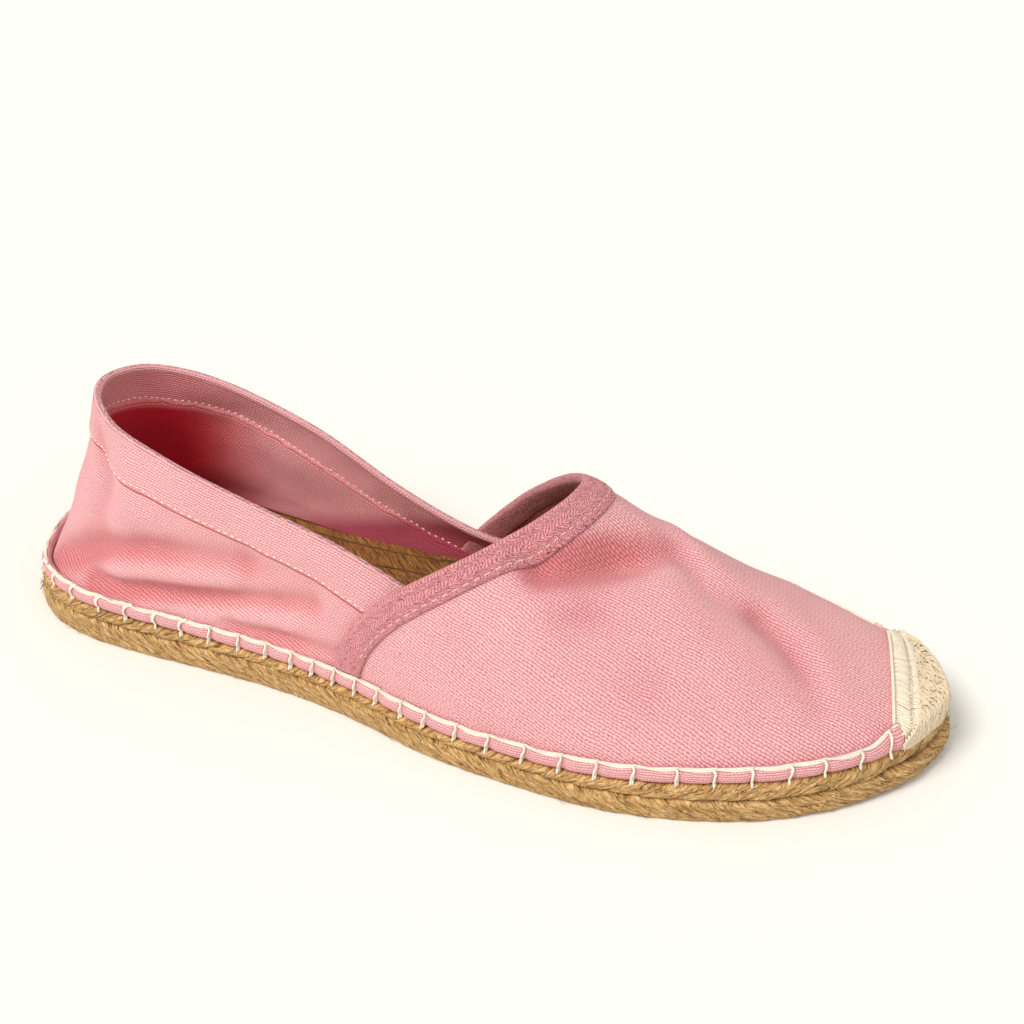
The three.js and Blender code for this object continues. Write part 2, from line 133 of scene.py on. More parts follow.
def tracks(rows: Sequence[NamedTuple]) -> dict[str, Track]:
    """Turns a table whose first column is x into one Track for each other column.

    Args:
        rows: The table's rows.

    Returns:
        The tracks by the name of their column.
    """
    xs = [row[0] for row in rows]
    names = rows[0]._fields[1:]
    return {name: Track(xs, [getattr(row, name) for row in rows]) for name in names}


def centripetal(points: Sequence[Vector], steps: int, closed: bool = False) -> list[Vector]:
    """Draws a centripetal Catmull-Rom curve through points.

    Args:
        points: The points to pass through.
        steps: How many points to make between two of them.
        closed: True if the last point joins the first.

    Returns:
        The curve's points in order.
    """
    n = len(points)
    if closed:
        ring = [points[-1], *points, points[0], points[1]]
    else:
        ring = [points[0] * 2 - points[1], *points, points[-1] * 2 - points[-2]]
    made = []
    for i in range(n if closed else n - 1):
        p0, p1, p2, p3 = ring[i : i + 4]
        d0, d1, d2 = (max((b - a).length, 1e-4) ** 0.5 for a, b in ((p0, p1), (p1, p2), (p2, p3)))
        start = ((p1 - p0) / d0 - (p2 - p0) / (d0 + d1) + (p2 - p1) / d1) * d1
        end = ((p2 - p1) / d1 - (p3 - p1) / (d1 + d2) + (p3 - p2) / d2) * d1
        rise = p2 - p1
        bend, turn = rise * 3 - start * 2 - end, start + end - rise * 2
        for k in range(steps):
            t = k / steps
            made.append(p1 + start * t + bend * t * t + turn * t**3)
    if not closed:
        made.append(points[-1].copy())
    return made


class Line:
    """A line of points that is read by the distance along it."""

    def __init__(self, points: Sequence[Vector]) -> None:
        """Measures the distance to each point.

        Args:
            points: The line's points in order.
        """
        self.points = list(points)
        self.distances = [0.0]
        for a, b in zip(self.points, self.points[1:]):
            self.distances.append(self.distances[-1] + (b - a).length)
        self.length = self.distances[-1]

    def at(self, distance: float) -> Vector:
        """Reads the point at a distance from the start."""
        i = int(clamp(bisect.bisect_right(self.distances, distance) - 1, 0, len(self.points) - 2))
        span = self.distances[i + 1] - self.distances[i]
        t = clamp((distance - self.distances[i]) / span) if span else 0.0
        return self.points[i].lerp(self.points[i + 1], t)


# ------------------------------------------------------------------------------- the last's tables
class SideRow(NamedTuple):
    """Half widths of the sole at a station along the foot."""

    x: float
    lateral: float
    medial: float


class EdgeRow(NamedTuple):
    """The jute's upper edge, and the share of its height at which its two rows of braid part."""

    x: float
    top: float
    groove: float


class VampRow(NamedTuple):
    """A cross-section of the vamp: its ridge, and how full each flank is."""

    x: float
    top: float
    ridge: float
    lateral_full: float
    medial_full: float


OUTLINE = [
    SideRow(-120, 21, 15.8),
    SideRow(-112, 29, 23),
    SideRow(-100, 33.6, 28.8),
    SideRow(-86, 35, 31),
    SideRow(-66, 35.2, 29.5),
    SideRow(-42, 35.6, 27.5),
    SideRow(-18, 39, 28.5),
    SideRow(6, 45, 32.5),
    SideRow(30, 47.6, 38),
    SideRow(52, 47.8, 41.6),
    SideRow(72, 44, 40.6),
    SideRow(90, 37.2, 33.8),
    SideRow(103, 29, 28.5),
    SideRow(113, 20, 25),
    SideRow(120.5, 10.2, 16.6),
]
TOE_TIP_Y = 4.0
EDGE = [
    EdgeRow(-125, 10.6, 0.6),
    EdgeRow(-80, 9.8, 0.68),
    EdgeRow(-40, 8.7, 0.74),
    EdgeRow(-10, 7.9, 0.78),
    EdgeRow(30, 7.9, 0.72),
    EdgeRow(55, 9.3, 0.6),
    EdgeRow(85, 10.8, 0.54),
    EdgeRow(125, 11.2, 0.52),
]
VAMP = [
    VampRow(-25, 66, 0, 2.2, 1.35),
    VampRow(5, 61, 1, 2.2, 1.35),
    VampRow(30, 57.5, 2, 2.1, 1.4),
    VampRow(42, 50.5, 3, 2, 1.4),
    VampRow(58, 42.5, 3, 2, 1.4),
    VampRow(72, 35.5, 3, 2, 1.45),
    VampRow(85, 28.2, 3, 2, 1.85),
    VampRow(100, 22.4, 4, 2, 2.3),
    VampRow(110, 18.2, 5, 2, 2.4),
    VampRow(118, 15.2, 5, 2, 2.2),
]
COLLAR = [
    Vector((6, -30, 31)),
    Vector((-7, -28.5, 37)),
    Vector((-28, -28, 45.5)),
    Vector((-50, -28, 52)),
    Vector((-72, -27, 58.5)),
    Vector((-90, -20.3, 61)),
    Vector((-101, -10, 61.8)),
    Vector((-104.8, 1, 61.3)),
    Vector((-101, 13, 59)),
    Vector((-91, 20, 55.5)),
    Vector((-77, 22.5, 51.3)),
    Vector((-55, 23.3, 43)),
    Vector((-31, 22.5, 30.5)),
    Vector((-9, 22.2, 21.5)),
    Vector((5, 23.4, 18)),
]


class Fold(NamedTuple):
    """A soft trough, or with a negative depth a ridge, pressed into the canvas along a path."""

    depth: float
    width: float
    path: tuple[tuple[float, float, float], ...]


VAMP_FOLDS = [
    Fold(6.0, 5.6, ((28, -24, 49), (34, -20, 49), (40, -14, 48), (46, -8, 47), (52, 0, 45))),
    Fold(-1.2, 5.0, ((52, 12, 44), (58, 9, 42), (64, 8, 40))),
    Fold(1.5, 4.4, ((56, 4, 44), (60, -2, 41), (64, -6, 39), (70, -5, 36), (76, -3, 33))),
    Fold(2.3, 5.0, ((77, -3, 32), (81, -4, 30), (86, -7, 27), (91, -11, 25), (95, -17, 21))),
    Fold(-0.8, 6.0, ((58, -12, 40), (68, -18, 35), (78, -20, 29))),
    Fold(-0.6, 5.0, ((80, 8, 29), (90, 2, 25), (97, -6, 22))),
    Fold(1.2, 4.5, ((34, -30, 39), (42, -27, 41), (50, -26, 40))),
    Fold(0.9, 12.0, ((44, -36, 30), (56, -34, 28), (68, -32, 26))),
    Fold(0.8, 6.0, ((34, 20, 44), (46, 18, 40))),
]
HEEL_FOLDS = [
    Fold(
        4.0,
        5.2,
        ((-112, -22, 15), (-104, -25, 19), (-90, -29, 27), (-77, -31, 31), (-64, -31, 33), (-50, -30, 34)),
    ),
    Fold(0.9, 4.4, ((-46, -30, 34), (-42, -30, 34), (-38, -30, 34), (-26, -30, 33))),
    Fold(-1.6, 4.0, ((-98, -28, 20), (-84, -31, 25), (-70, -32, 27), (-54, -32, 28))),
    Fold(
        4.2,
        3.5,
        ((-96, -30, 16), (-86, -31, 17), (-78, -31, 19), (-64, -31, 21), (-48, -31, 24), (-30, -31, 27)),
    ),
    Fold(-1.0, 3.4, ((-66, -32, 16), (-50, -32, 18), (-36, -32, 20))),
    Fold(2.8, 3.0, ((-54, -31, 15), (-50, -32, 14.5), (-37, -32, 14.7), (-22, -33, 15))),
    Fold(1.7, 6.0, ((-95, -18, 54), (-92, -25, 46), (-94, -26, 36), (-98, -26, 28))),
    Fold(-1.4, 6.0, ((-84, -26, 52), (-82, -29, 44), (-86, -29, 38))),
    Fold(1.6, 8.0, ((-78, 24, 34), (-60, 25, 29), (-42, 25, 24))),
    Fold(-1.2, 7.0, ((-88, 22, 40), (-70, 25, 37))),
    Fold(1.4, 8.0, ((-112, 10, 24), (-113, 0, 27), (-111, -12, 24))),
    Fold(1.2, 6.0, ((-100, 22, 20), (-84, 28, 22), (-66, 28, 20))),
    Fold(1.0, 7.0, ((-104, 10, 44), (-105, 0, 45), (-102, -10, 44))),
]


# ------------------------------------------------------------------------------- the last
class Widths:
    """The half widths, at each x, of the sole's outline moved in by some inset."""

    STEP = 0.25

    def __init__(self, loop: Sequence[Vector]) -> None:
        """Reads the loop's lowest and highest y at evenly spaced x.

        Args:
            loop: The closed outline's points.
        """
        self.tip = max(loop, key=lambda p: p.x)
        self.start = min(p.x for p in loop)
        count = int((self.tip.x - self.start) / self.STEP) + 1
        self.low, self.high = [math.inf] * count, [-math.inf] * count
        for a, b in zip(loop, [*loop[1:], loop[0]]):
            left, right = (a, b) if a.x < b.x else (b, a)
            first = math.ceil((left.x - self.start) / self.STEP)
            for i in range(first, min(math.floor((right.x - self.start) / self.STEP) + 1, count)):
                x = self.start + i * self.STEP
                y = lerp(left.y, right.y, (x - left.x) / max(right.x - left.x, 1e-6))
                self.low[i] = min(self.low[i], y)
                self.high[i] = max(self.high[i], y)

    def __call__(self, x: float) -> tuple[float, float]:
        """Gives the outer (lateral) and inner (medial) half width at x."""
        place = (x - self.start) / self.STEP
        i = int(place)
        if i + 1 >= len(self.low):
            t = clamp((x - self.start - (len(self.low) - 1) * self.STEP) / self.STEP)
            return -lerp(self.low[-1], self.tip.y, t), lerp(self.high[-1], self.tip.y, t)
        i = max(i, 0)
        t = clamp(place - i)
        return -lerp(self.low[i], self.low[i + 1], t), lerp(self.high[i], self.high[i + 1], t)


@dataclass
class Last:
    """The foot form that every piece is worked out from."""

    length: float = 250.0
    toe_spring_from: float = 80.0
    toe_spring: float = 1.8
    arch_from: float = -62.0
    arch_to: float = 18.0
    arch_rise: float = 1.6
    gap: float = 0.35
    canvas: float = 1.4
    seam_inset: float = 2.6
    hem_tuck: float = 1.2
    fine: int = 1440
    loop: list[Vector] = field(init=False)
    inward: list[Vector] = field(init=False)

    def __post_init__(self) -> None:
        """Draws the outline, evenly spaced from the heel along the outer side, and centres it."""
        half = self.length / 2
        rows = [Vector((-half, 0, 0))]
        rows += [Vector((row.x, -row.lateral, 0)) for row in OUTLINE]
        rows.append(Vector((half, TOE_TIP_Y, 0)))
        rows += [Vector((row.x, row.medial, 0)) for row in reversed(OUTLINE)]
        drawn = centripetal(rows, 48, closed=True)
        line = Line([*drawn, drawn[0]])
        self.perimeter = line.length
        self.loop = [line.at(line.length * i / self.fine) for i in range(self.fine)]
        self.inward = []
        for i in range(self.fine):
            along = (self.loop[(i + 1) % self.fine] - self.loop[i - 1]).normalized()
            self.inward.append(Vector((-along.y, along.x, 0)))
        low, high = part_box("jute_sole")
        own_low = Vector((min(p.x for p in self.loop), min(p.y for p in self.loop), 0))
        own_high = Vector((max(p.x for p in self.loop), max(p.y for p in self.loop), 0))
        self.origin = (low + high) / 2 - (own_low + own_high) / 2 * MM
        self.origin.z = low.z
        edge = tracks(EDGE)
        self.edge_height, self.groove = edge["top"], edge["groove"]
        self.tree = KDTree(self.fine)
        for i, p in enumerate(self.loop):
            self.tree.insert(p, i)
        self.tree.balance()

    def place(self, point: Vector) -> Vector:
        """Moves a point of the last, in millimetres, to the row frame, in metres."""
        return point * MM + self.origin

    def at(self, along: float, inset: float, z: float = 0.0) -> Vector:
        """Gives the point of the outline at a distance from the heel, moved in by an inset.

        Args:
            along: The distance: positive along the outer side, negative along the inner side.
            inset: How far to move in from the outline.
            z: The point's height.

        Returns:
            The point in the last's coordinates.
        """
        place = (along / self.perimeter * self.fine) % self.fine
        i = int(place) % self.fine
        k = (i + 1) % self.fine
        t = place - int(place)
        flat = self.loop[i].lerp(self.loop[k], t) + self.inward[i].lerp(self.inward[k], t) * inset
        return Vector((flat.x, flat.y, z))

    def outward(self, along: float) -> Vector:
        """Gives the level direction that points out of the outline at a distance from the heel."""
        return -self.inward[int(along / self.perimeter * self.fine) % self.fine]

    def nearest(self, x: float, y: float) -> tuple[float, float]:
        """Gives the distance from the heel, and the inset, of the outline's nearest point."""
        _, i, distance = self.tree.find(Vector((x, y, 0)))
        return i * self.perimeter / self.fine, distance

    @functools.lru_cache(maxsize=64)
    def widths(self, inset: float) -> Widths:
        """Gives the half widths of the outline moved in by an inset."""
        return Widths([p + n * inset for p, n in zip(self.loop, self.inward)])

    def __hash__(self) -> int:
        """Lets the methods' caches tell one last from another."""
        return id(self)

    def underside(self, x: float, y: float) -> float:
        """Gives the height of the sole's underside: flat but for the toe spring and the arch."""
        toe = clamp((x - self.toe_spring_from) / (self.length / 2 - self.toe_spring_from))
        along = clamp((x - self.arch_from) / (self.arch_to - self.arch_from))
        arch = math.sin(math.pi * along) ** 2 * smoothstep(y, 2, 24)
        return self.toe_spring * toe**2 + self.arch_rise * arch


class Section(NamedTuple):
    """One cross-section of the vamp: its heights, the y of its ridge and feet, and how full it is."""

    foot: float
    top: float
    ridge: float
    lateral: float
    medial: float
    lateral_full: float
    medial_full: float


@dataclass
class VampForm:
    """The form that the vamp, its tape and the toe cap lie on."""

    last: Last
    throat_lateral: float = -22.5
    throat_medial: float = -14.0
    throat_top: float = 30.0
    throat_sweep: float = 1.8
    tip_rise: float = 2.0
    nose_full: float = 2.0

    def __post_init__(self) -> None:
        """Reads the sections' table."""
        self.rows = tracks(VAMP)
        self.last_x = VAMP[-1].x

    def section(self, x: float, depth: float = 0.0) -> Section:
        """Gives the vamp's section at a station, which closes to a round nose at the tip.

        Args:
            x: The station along the foot.
            depth: How far in from the canvas's outer face, negative outwards.

        Returns:
            The section.
        """
        widths = self.last.widths(round(self.last.seam_inset + depth, 3))
        to_tip = clamp((x - self.last_x) / (widths.tip.x - self.last_x))
        nose = math.sqrt(1 - to_tip * to_tip)
        foot = self.last.edge_height(x) + self.last.gap
        lateral, medial = widths(x)
        return Section(
            foot=foot,
            top=lerp(foot + self.tip_rise, self.rows["top"](x), nose) - depth,
            ridge=lerp(widths.tip.y, self.rows["ridge"](x), nose),
            lateral=-lateral,
            medial=medial,
            lateral_full=lerp(self.nose_full, self.rows["lateral_full"](x), nose),
            medial_full=lerp(self.nose_full, self.rows["medial_full"](x), nose),
        )

    def point(self, x: float, angle: float, depth: float = 0.0) -> Vector:
        """Gives a point over the vamp.

        Args:
            x: The station along the foot.
            angle: 0 at the outer side's foot, a quarter turn on the ridge, a half at the inner foot.
            depth: How far in from the canvas's outer face, negative outwards.

        Returns:
            The point in the last's coordinates.
        """
        section = self.section(x, depth)
        outer = angle < math.pi / 2
        power = 2 / (section.lateral_full if outer else section.medial_full)
        across = abs(math.cos(angle)) ** power
        z = lerp(section.foot, section.top, max(math.sin(angle), 0.0) ** power)
        return Vector((x, lerp(section.ridge, section.lateral if outer else section.medial, across), z))

    def height(self, x: float, y: float) -> float:
        """Gives the height of the canvas's outer face over a point of the plan."""
        section = self.section(x)
        outer = y < section.ridge
        full = section.lateral_full if outer else section.medial_full
        side = section.lateral if outer else section.medial
        across = clamp((y - section.ridge) / (side - section.ridge or 1e-6))
        return lerp(section.foot, section.top, (1 - across**full) ** (1 / full))

    def throat_x(self, angle: float) -> float:
        """Gives the station of the vamp's rear edge, which sweeps up from its feet."""
        foot = self.throat_lateral if angle < math.pi / 2 else self.throat_medial
        return lerp(foot, self.throat_top, max(math.sin(angle), 0.0) ** self.throat_sweep)

    @functools.lru_cache(maxsize=4096)
    def reach(self, angle: float) -> float:
        """Gives the length along x that covers one millimetre square to the slanting rear edge."""
        step = 0.01
        low, high = max(angle - step, 0.0), min(angle + step, math.pi)
        edge = self.point(self.throat_x(high), high) - self.point(self.throat_x(low), low)
        ahead = self.point(self.throat_x(angle) + 1, angle) - self.point(self.throat_x(angle), angle)
        return 1 / max(math.sin(edge.angle(ahead)), 0.4)

    def __hash__(self) -> int:
        """Lets the methods' caches tell one form from another."""
        return id(self)

    def station(self, angle: float, forward: float) -> float:
        """Gives the station a set way forward of the rear edge, measured square to it."""
        return self.throat_x(angle) + forward * (self.reach(angle) if forward > 0 else 1.0)

    def band(self, angle: float, forward: float, depth: float = 0.0) -> Vector:
        """Gives a point a set way forward of the rear edge, measured square to it."""
        return self.point(self.station(angle, forward), angle, depth)


@dataclass
class HeelForm:
    """The wall of the heel piece, from its foot on the sole up to the collar."""

    last: Last
    front_lateral: float = 6.0
    front_medial: float = 5.0
    bulge_sides: float = 1.5
    bulge_back: float = -1.5
    back: tuple[float, float] = (-118.0, -88.0)  # where the wall turns from the back to the sides
    overlap: tuple[float, float] = (-30.5, -18.5)  # where it starts to lie under the vamp
    count: int = 260

    def __post_init__(self) -> None:
        """Draws the foot line and the collar, with the same number of evenly spaced points."""
        inset = self.last.seam_inset + self.last.hem_tuck
        loop = [p + n * inset for p, n in zip(self.last.loop, self.last.inward)]
        tip = max(range(len(loop)), key=lambda i: loop[i].x)
        outer = [p for p in loop[:tip] if p.x < self.front_lateral]
        inner = [p for p in loop[tip:] if p.x < self.front_medial]
        foot = Line([*reversed(outer), *reversed(inner)])
        collar = Line(centripetal(COLLAR, 24))
        shares = [i / self.count for i in range(self.count + 1)]
        self.foot = [foot.at(t * foot.length) for t in shares]
        self.collar = [collar.at(t * collar.length) for t in shares]
        self.length = collar.length
        self.out = []
        for i in range(self.count + 1):
            along = self.foot[min(i + 1, self.count)] - self.foot[max(i - 1, 0)]
            self.out.append(Vector((-along.y, along.x, 0)).normalized())

    def point(self, share: float, rise: float, depth: float = 0.0) -> tuple[Vector, Vector]:
        """Gives a point of the wall.

        Args:
            share: 0 at the outer front edge, 1 at the inner one, round the heel.
            rise: 0 at the foot, 1 on the collar.
            depth: How far in from the canvas's outer face.

        Returns:
            The point, and the level direction that points out of the shoe there.
        """
        i = min(int(share * self.count), self.count - 1)
        t = share * self.count - i
        foot, collar = (line[i].lerp(line[i + 1], t) for line in (self.foot, self.collar))
        out = self.out[i].lerp(self.out[i + 1], t)
        x = foot.x
        start = Vector((x, foot.y, self.last.edge_height(x) + self.last.gap))
        bulge = lerp(self.bulge_back, self.bulge_sides, smoothstep(x, *self.back))
        free = 1 - smoothstep(x, *self.overlap)
        swell = bulge * math.sin(math.pi * rise) + self.last.hem_tuck * (1 - rise) * free
        return start.lerp(collar, rise) + out * (swell - depth), out


# ------------------------------------------------------------------------------- meshes
class Spot(NamedTuple):
    """A vertex: its place on the last, and what its finish reads: along, across and relief."""

    point: Vector
    flow: tuple[float, float, float]


@functools.cache
def grid_template(columns: int, rows: int) -> bpy.types.Mesh:
    """Makes a plain grid, which pieces copy and then bend.

    Args:
        columns: Its faces across.
        rows: Its faces along.

    Returns:
        A mesh whose vertices run row by row.
    """
    bm = bmesh.new()
    bmesh.ops.create_grid(bm, x_segments=columns, y_segments=rows, size=1)
    mesh = bpy.data.meshes.new("template")
    bm.to_mesh(mesh)
    bm.free()
    return mesh


class Cloth:
    """Gathers bent grids and tubes into the mesh of one piece."""

    def __init__(self, last: Last) -> None:
        """Starts empty.

        Args:
            last: The last, which places the points.
        """
        self.last = last
        self.bm = bmesh.new()
        self.bm.verts.layers.float_vector.new(FLOW)

    def grid(self, columns: int, rows: int, spot: Callable[[int, int], Spot]) -> None:
        """Adds a grid bent to shape.

        Args:
            columns: Its faces across.
            rows: Its faces along.
            spot: Gives the vertex at a column and a row.
        """
        first = len(self.bm.verts)
        self.bm.from_mesh(grid_template(columns, rows))
        self.bm.verts.ensure_lookup_table()
        flow = self.bm.verts.layers.float_vector[FLOW]
        for k, vert in enumerate(self.bm.verts[first:]):
            row, column = divmod(k, columns + 1)
            made = spot(column, row)
            vert.co = self.last.place(made.point)
            vert[flow] = made.flow

    def tube(
        self, path: Sequence[Vector], radius: Callable[[float], float], sides: int = 6, girth: float = 1.0
    ) -> None:
        """Adds a round tube along a path, closed to a point at its ends.

        Args:
            path: The points of its middle line.
            radius: Gives the radius at a share of the way along.
            sides: How many faces go round it.
            girth: What the finish's measure across comes to, once round.
        """
        count = len(path) - 1
        across = Vector((0, 0, 1))
        frames = []
        travelled = 0.0
        for i, p in enumerate(path):
            along = (path[min(i + 1, count)] - path[max(i - 1, 0)]).normalized()
            across = (across - along * across.dot(along)).normalized()
            if i:
                travelled += (p - path[i - 1]).length
            frames.append((p, across.copy(), along.cross(across), travelled))

        def spot(column: int, row: int) -> Spot:
            """Places one vertex of the tube."""
            middle, first, second, length = frames[row]
            turn = 2 * math.pi * column / sides
            size = 0.0 if row in (0, count) else radius(row / count)
            offset = (first * math.cos(turn) + second * math.sin(turn)) * size
            return Spot(middle + offset, (length, girth * column / sides, 1.0))

        self.grid(sides, count, spot)

    def cord(self, path: Sequence[Vector], radius: float, lay: float, sides: int = 6) -> None:
        """Adds a thread of two strands that turn round each other.

        Args:
            path: The points of the thread's middle line.
            radius: The radius of each strand.
            lay: The length of one turn.
            sides: How many faces go round each strand.
        """
        line = Line(path)
        steps = max(int(line.length / 0.55), 5)
        for strand in (0, math.pi):
            bent = []
            across = Vector((0, 0, 1))
            for i in range(steps + 1):
                here = line.length * i / steps
                middle = line.at(here)
                along = (line.at(here + 0.4) - line.at(here - 0.4)).normalized()
                across = (across - along * across.dot(along)).normalized()
                turn = strand + 2 * math.pi * here / lay
                side = across * math.cos(turn) + along.cross(across) * math.sin(turn)
                bent.append(middle + side * radius * 0.85)
            self.tube(bent, lambda t: radius * (0.85 + 0.15 * math.sin(math.pi * t)), sides)

    def close(self) -> "Cloth":
        """Merges seams and poles, fills open ends and turns the faces outwards."""
        bmesh.ops.remove_doubles(self.bm, verts=self.bm.verts, dist=2e-7)
        bmesh.ops.holes_fill(self.bm, edges=[e for e in self.bm.edges if e.is_boundary])
        bmesh.ops.recalc_face_normals(self.bm, faces=self.bm.faces)
        return self

    def piece(self, name: str, finish: "Finish", slot: str, stands_for: str = "") -> bpy.types.Object:
        """Makes the mesh an object that rides on the shoe.

        Args:
            name: The piece's name.
            finish: Its finish.
            slot: The name of a material slot; not used.
            stands_for: The frame's node that it replaces, if any.

        Returns:
            The new object.
        """
        mesh = bpy.data.meshes.new(name)
        self.bm.to_mesh(mesh)
        self.bm.free()
        mesh.shade_smooth()
        mesh.materials.append(finish.material())
        made = bpy.data.objects.new(name, mesh)
        bpy.context.scene.collection.objects.link(made)
        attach(made, BODY)
        if stands_for:
            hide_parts(stands_for)
        log.info("%s: %d faces", name, len(mesh.polygons))
        return made


# ------------------------------------------------------------------------------- finishes
class Sum(Enum):
    """The sums that a finish works out."""

    ADD = "ADD"
    SUBTRACT = "SUBTRACT"
    MULTIPLY = "MULTIPLY"
    DIVIDE = "DIVIDE"
    ABSOLUTE = "ABSOLUTE"
    SINE = "SINE"
    FLOOR = "FLOOR"
    FRACT = "FRACT"
    POWER = "POWER"
    PINGPONG = "PINGPONG"


Socket = bpy.types.NodeSocket
Value = "Socket | float"


class Graph:
    """Adds nodes to one material and joins them."""

    def __init__(self, name: str) -> None:
        """Starts a material with a Principled shader.

        Args:
            name: The material's name.
        """
        self.made = bpy.data.materials.new(name)
        self.made.use_nodes = True
        self.nodes, self.links = self.made.node_tree.nodes, self.made.node_tree.links
        self.shader = self.nodes["Principled BSDF"]

    def feed(self, socket: Socket, value: Value) -> None:
        """Sets an input, or joins another node's output to it."""
        if isinstance(value, bpy.types.NodeSocket):
            self.links.new(value, socket)
        else:
            socket.default_value = value

    def math(self, operation: Sum, a: Value, b: Value = 0.0) -> Socket:
        """Works out one sum of a and b."""
        node = self.nodes.new("ShaderNodeMath")
        node.operation = operation.value
        self.feed(node.inputs[0], a)
        self.feed(node.inputs[1], b)
        return node.outputs[0]

    def add(self, a: Value, b: Value) -> Socket:
        """Adds a and b."""
        return self.math(Sum.ADD, a, b)

    def times(self, a: Value, b: Value) -> Socket:
        """Multiplies a by b."""
        return self.math(Sum.MULTIPLY, a, b)

    def wave(self, phase: Socket) -> Socket:
        """Makes a row of round bumps between 0 and 1, one for each whole step of the phase."""
        return self.math(Sum.ABSOLUTE, self.math(Sum.SINE, self.times(phase, math.pi)))

    def flow(self) -> tuple[Socket, Socket, Socket]:
        """Reads along, across and relief."""
        node = self.nodes.new("ShaderNodeAttribute")
        node.attribute_name = FLOW
        return self.split(node.outputs["Vector"])

    def split(self, vector: Socket) -> tuple[Socket, Socket, Socket]:
        """Parts a vector into its three numbers."""
        node = self.nodes.new("ShaderNodeSeparateXYZ")
        self.links.new(vector, node.inputs[0])
        return node.outputs[0], node.outputs[1], node.outputs[2]

    def place(self) -> Socket:
        """Reads the object's own coordinates."""
        return self.nodes.new("ShaderNodeTexCoord").outputs["Object"]

    def vector(self, x: Value, y: Value, z: Value = 0.0) -> Socket:
        """Joins three numbers into a vector."""
        node = self.nodes.new("ShaderNodeCombineXYZ")
        for socket, value in zip(node.inputs, (x, y, z)):
            self.feed(socket, value)
        return node.outputs[0]

    def noise(self, vector: Socket, scale: float, detail: float = 2.0, rough: float = 0.5) -> Socket:
        """Reads a cloudy noise between 0 and 1."""
        node = self.nodes.new("ShaderNodeTexNoise")
        self.links.new(vector, node.inputs["Vector"])
        node.inputs["Scale"].default_value = scale
        node.inputs["Detail"].default_value = detail
        node.inputs["Roughness"].default_value = rough
        return node.outputs["Fac"]

    def drift(
        self, vector: Socket, scale: float, reach: float, detail: float = 2.0, rough: float = 0.5
    ) -> Socket:
        """Wanders to both sides of nothing.

        Args:
            vector: Where the noise is read.
            scale: How close its clouds are.
            reach: How far it goes from its lowest to its highest.
            detail: How many finer layers it has.
            rough: How strong they are.

        Returns:
            The value.
        """
        return self.times(self.math(Sum.SUBTRACT, self.noise(vector, scale, detail, rough), 0.5), reach)

    def stretched(self, along: Socket, across: Socket, by: tuple[float, float]) -> Socket:
        """Joins along and across, each made longer or shorter, into a vector."""
        return self.vector(self.times(along, by[0]), self.times(across, by[1]))

    def span(self, value: Socket, low: float, high: float, to: tuple[float, float] = (0.0, 1.0)) -> Socket:
        """Stretches the part of a value between two limits to a new range, smoothly."""
        node = self.nodes.new("ShaderNodeMapRange")
        node.interpolation_type = "SMOOTHSTEP"
        self.links.new(value, node.inputs["Value"])
        node.inputs["From Min"].default_value = low
        node.inputs["From Max"].default_value = high
        node.inputs["To Min"].default_value = to[0]
        node.inputs["To Max"].default_value = to[1]
        return node.outputs["Result"]

    def ramp(self, factor: Socket, stops: Sequence[tuple[float, Colour]]) -> Socket:
        """Turns a value into a colour by a row of stops."""
        node = self.nodes.new("ShaderNodeValToRGB")
        self.links.new(factor, node.inputs[0])
        elements = node.color_ramp.elements
        while len(elements) < len(stops):
            elements.new(0.5)
        for element, (place, colour) in zip(elements, stops):
            element.position = place
            element.color = (*colour, 1)
        return node.outputs[0]

    def blend(self, factor: Value, a: Socket | Colour, b: Socket | Colour, how: str = "MIX") -> Socket:
        """Mixes two colours."""
        node = self.nodes.new("ShaderNodeMix")
        node.data_type = "RGBA"
        node.blend_type = how
        self.feed(node.inputs["Factor"], factor)
        for socket, value in ((node.inputs[6], a), (node.inputs[7], b)):
            self.feed(socket, value if isinstance(value, bpy.types.NodeSocket) else (*value, 1))
        return node.outputs[2]

    def bump(self, height: Socket, strength: float, distance: float) -> Socket:
        """Turns a height into a normal.

        Args:
            height: The height, about 0 to 1.
            strength: How much of it shows.
            distance: What a height of 1 stands for, in millimetres.

        Returns:
            The bent normal.
        """
        node = self.nodes.new("ShaderNodeBump")
        node.inputs["Strength"].default_value = strength
        node.inputs["Distance"].default_value = distance * MM
        self.links.new(height, node.inputs["Height"])
        return node.outputs[0]

    def dye(self, body: Socket, factor: Value, colour: Socket | Colour) -> Socket:
        """Paints shade: darkens a colour by another, by a factor."""
        return self.blend(factor, body, self.blend(1.0, body, colour, "MULTIPLY"))

    def finish(self, colour: Socket, normal: Socket, roughness: float, sheen: float, specular: float) -> None:
        """Joins the colour and the normal to the shader and sets its even numbers."""
        self.links.new(colour, self.shader.inputs["Base Color"])
        self.links.new(normal, self.shader.inputs["Normal"])
        self.shader.inputs["Roughness"].default_value = roughness
        self.shader.inputs["Sheen Weight"].default_value = sheen
        self.shader.inputs["Sheen Roughness"].default_value = 0.5
        self.shader.inputs["Specular IOR Level"].default_value = specular


@dataclass(frozen=True)
class Finish:
    """What a piece is made of."""

    name: str

    def material(self) -> bpy.types.Material:
        """Gives the material, which is made once."""
        return bpy.data.materials.get(self.name) or self.build()

    def build(self) -> bpy.types.Material:
        """Makes the material."""
        raise NotImplementedError


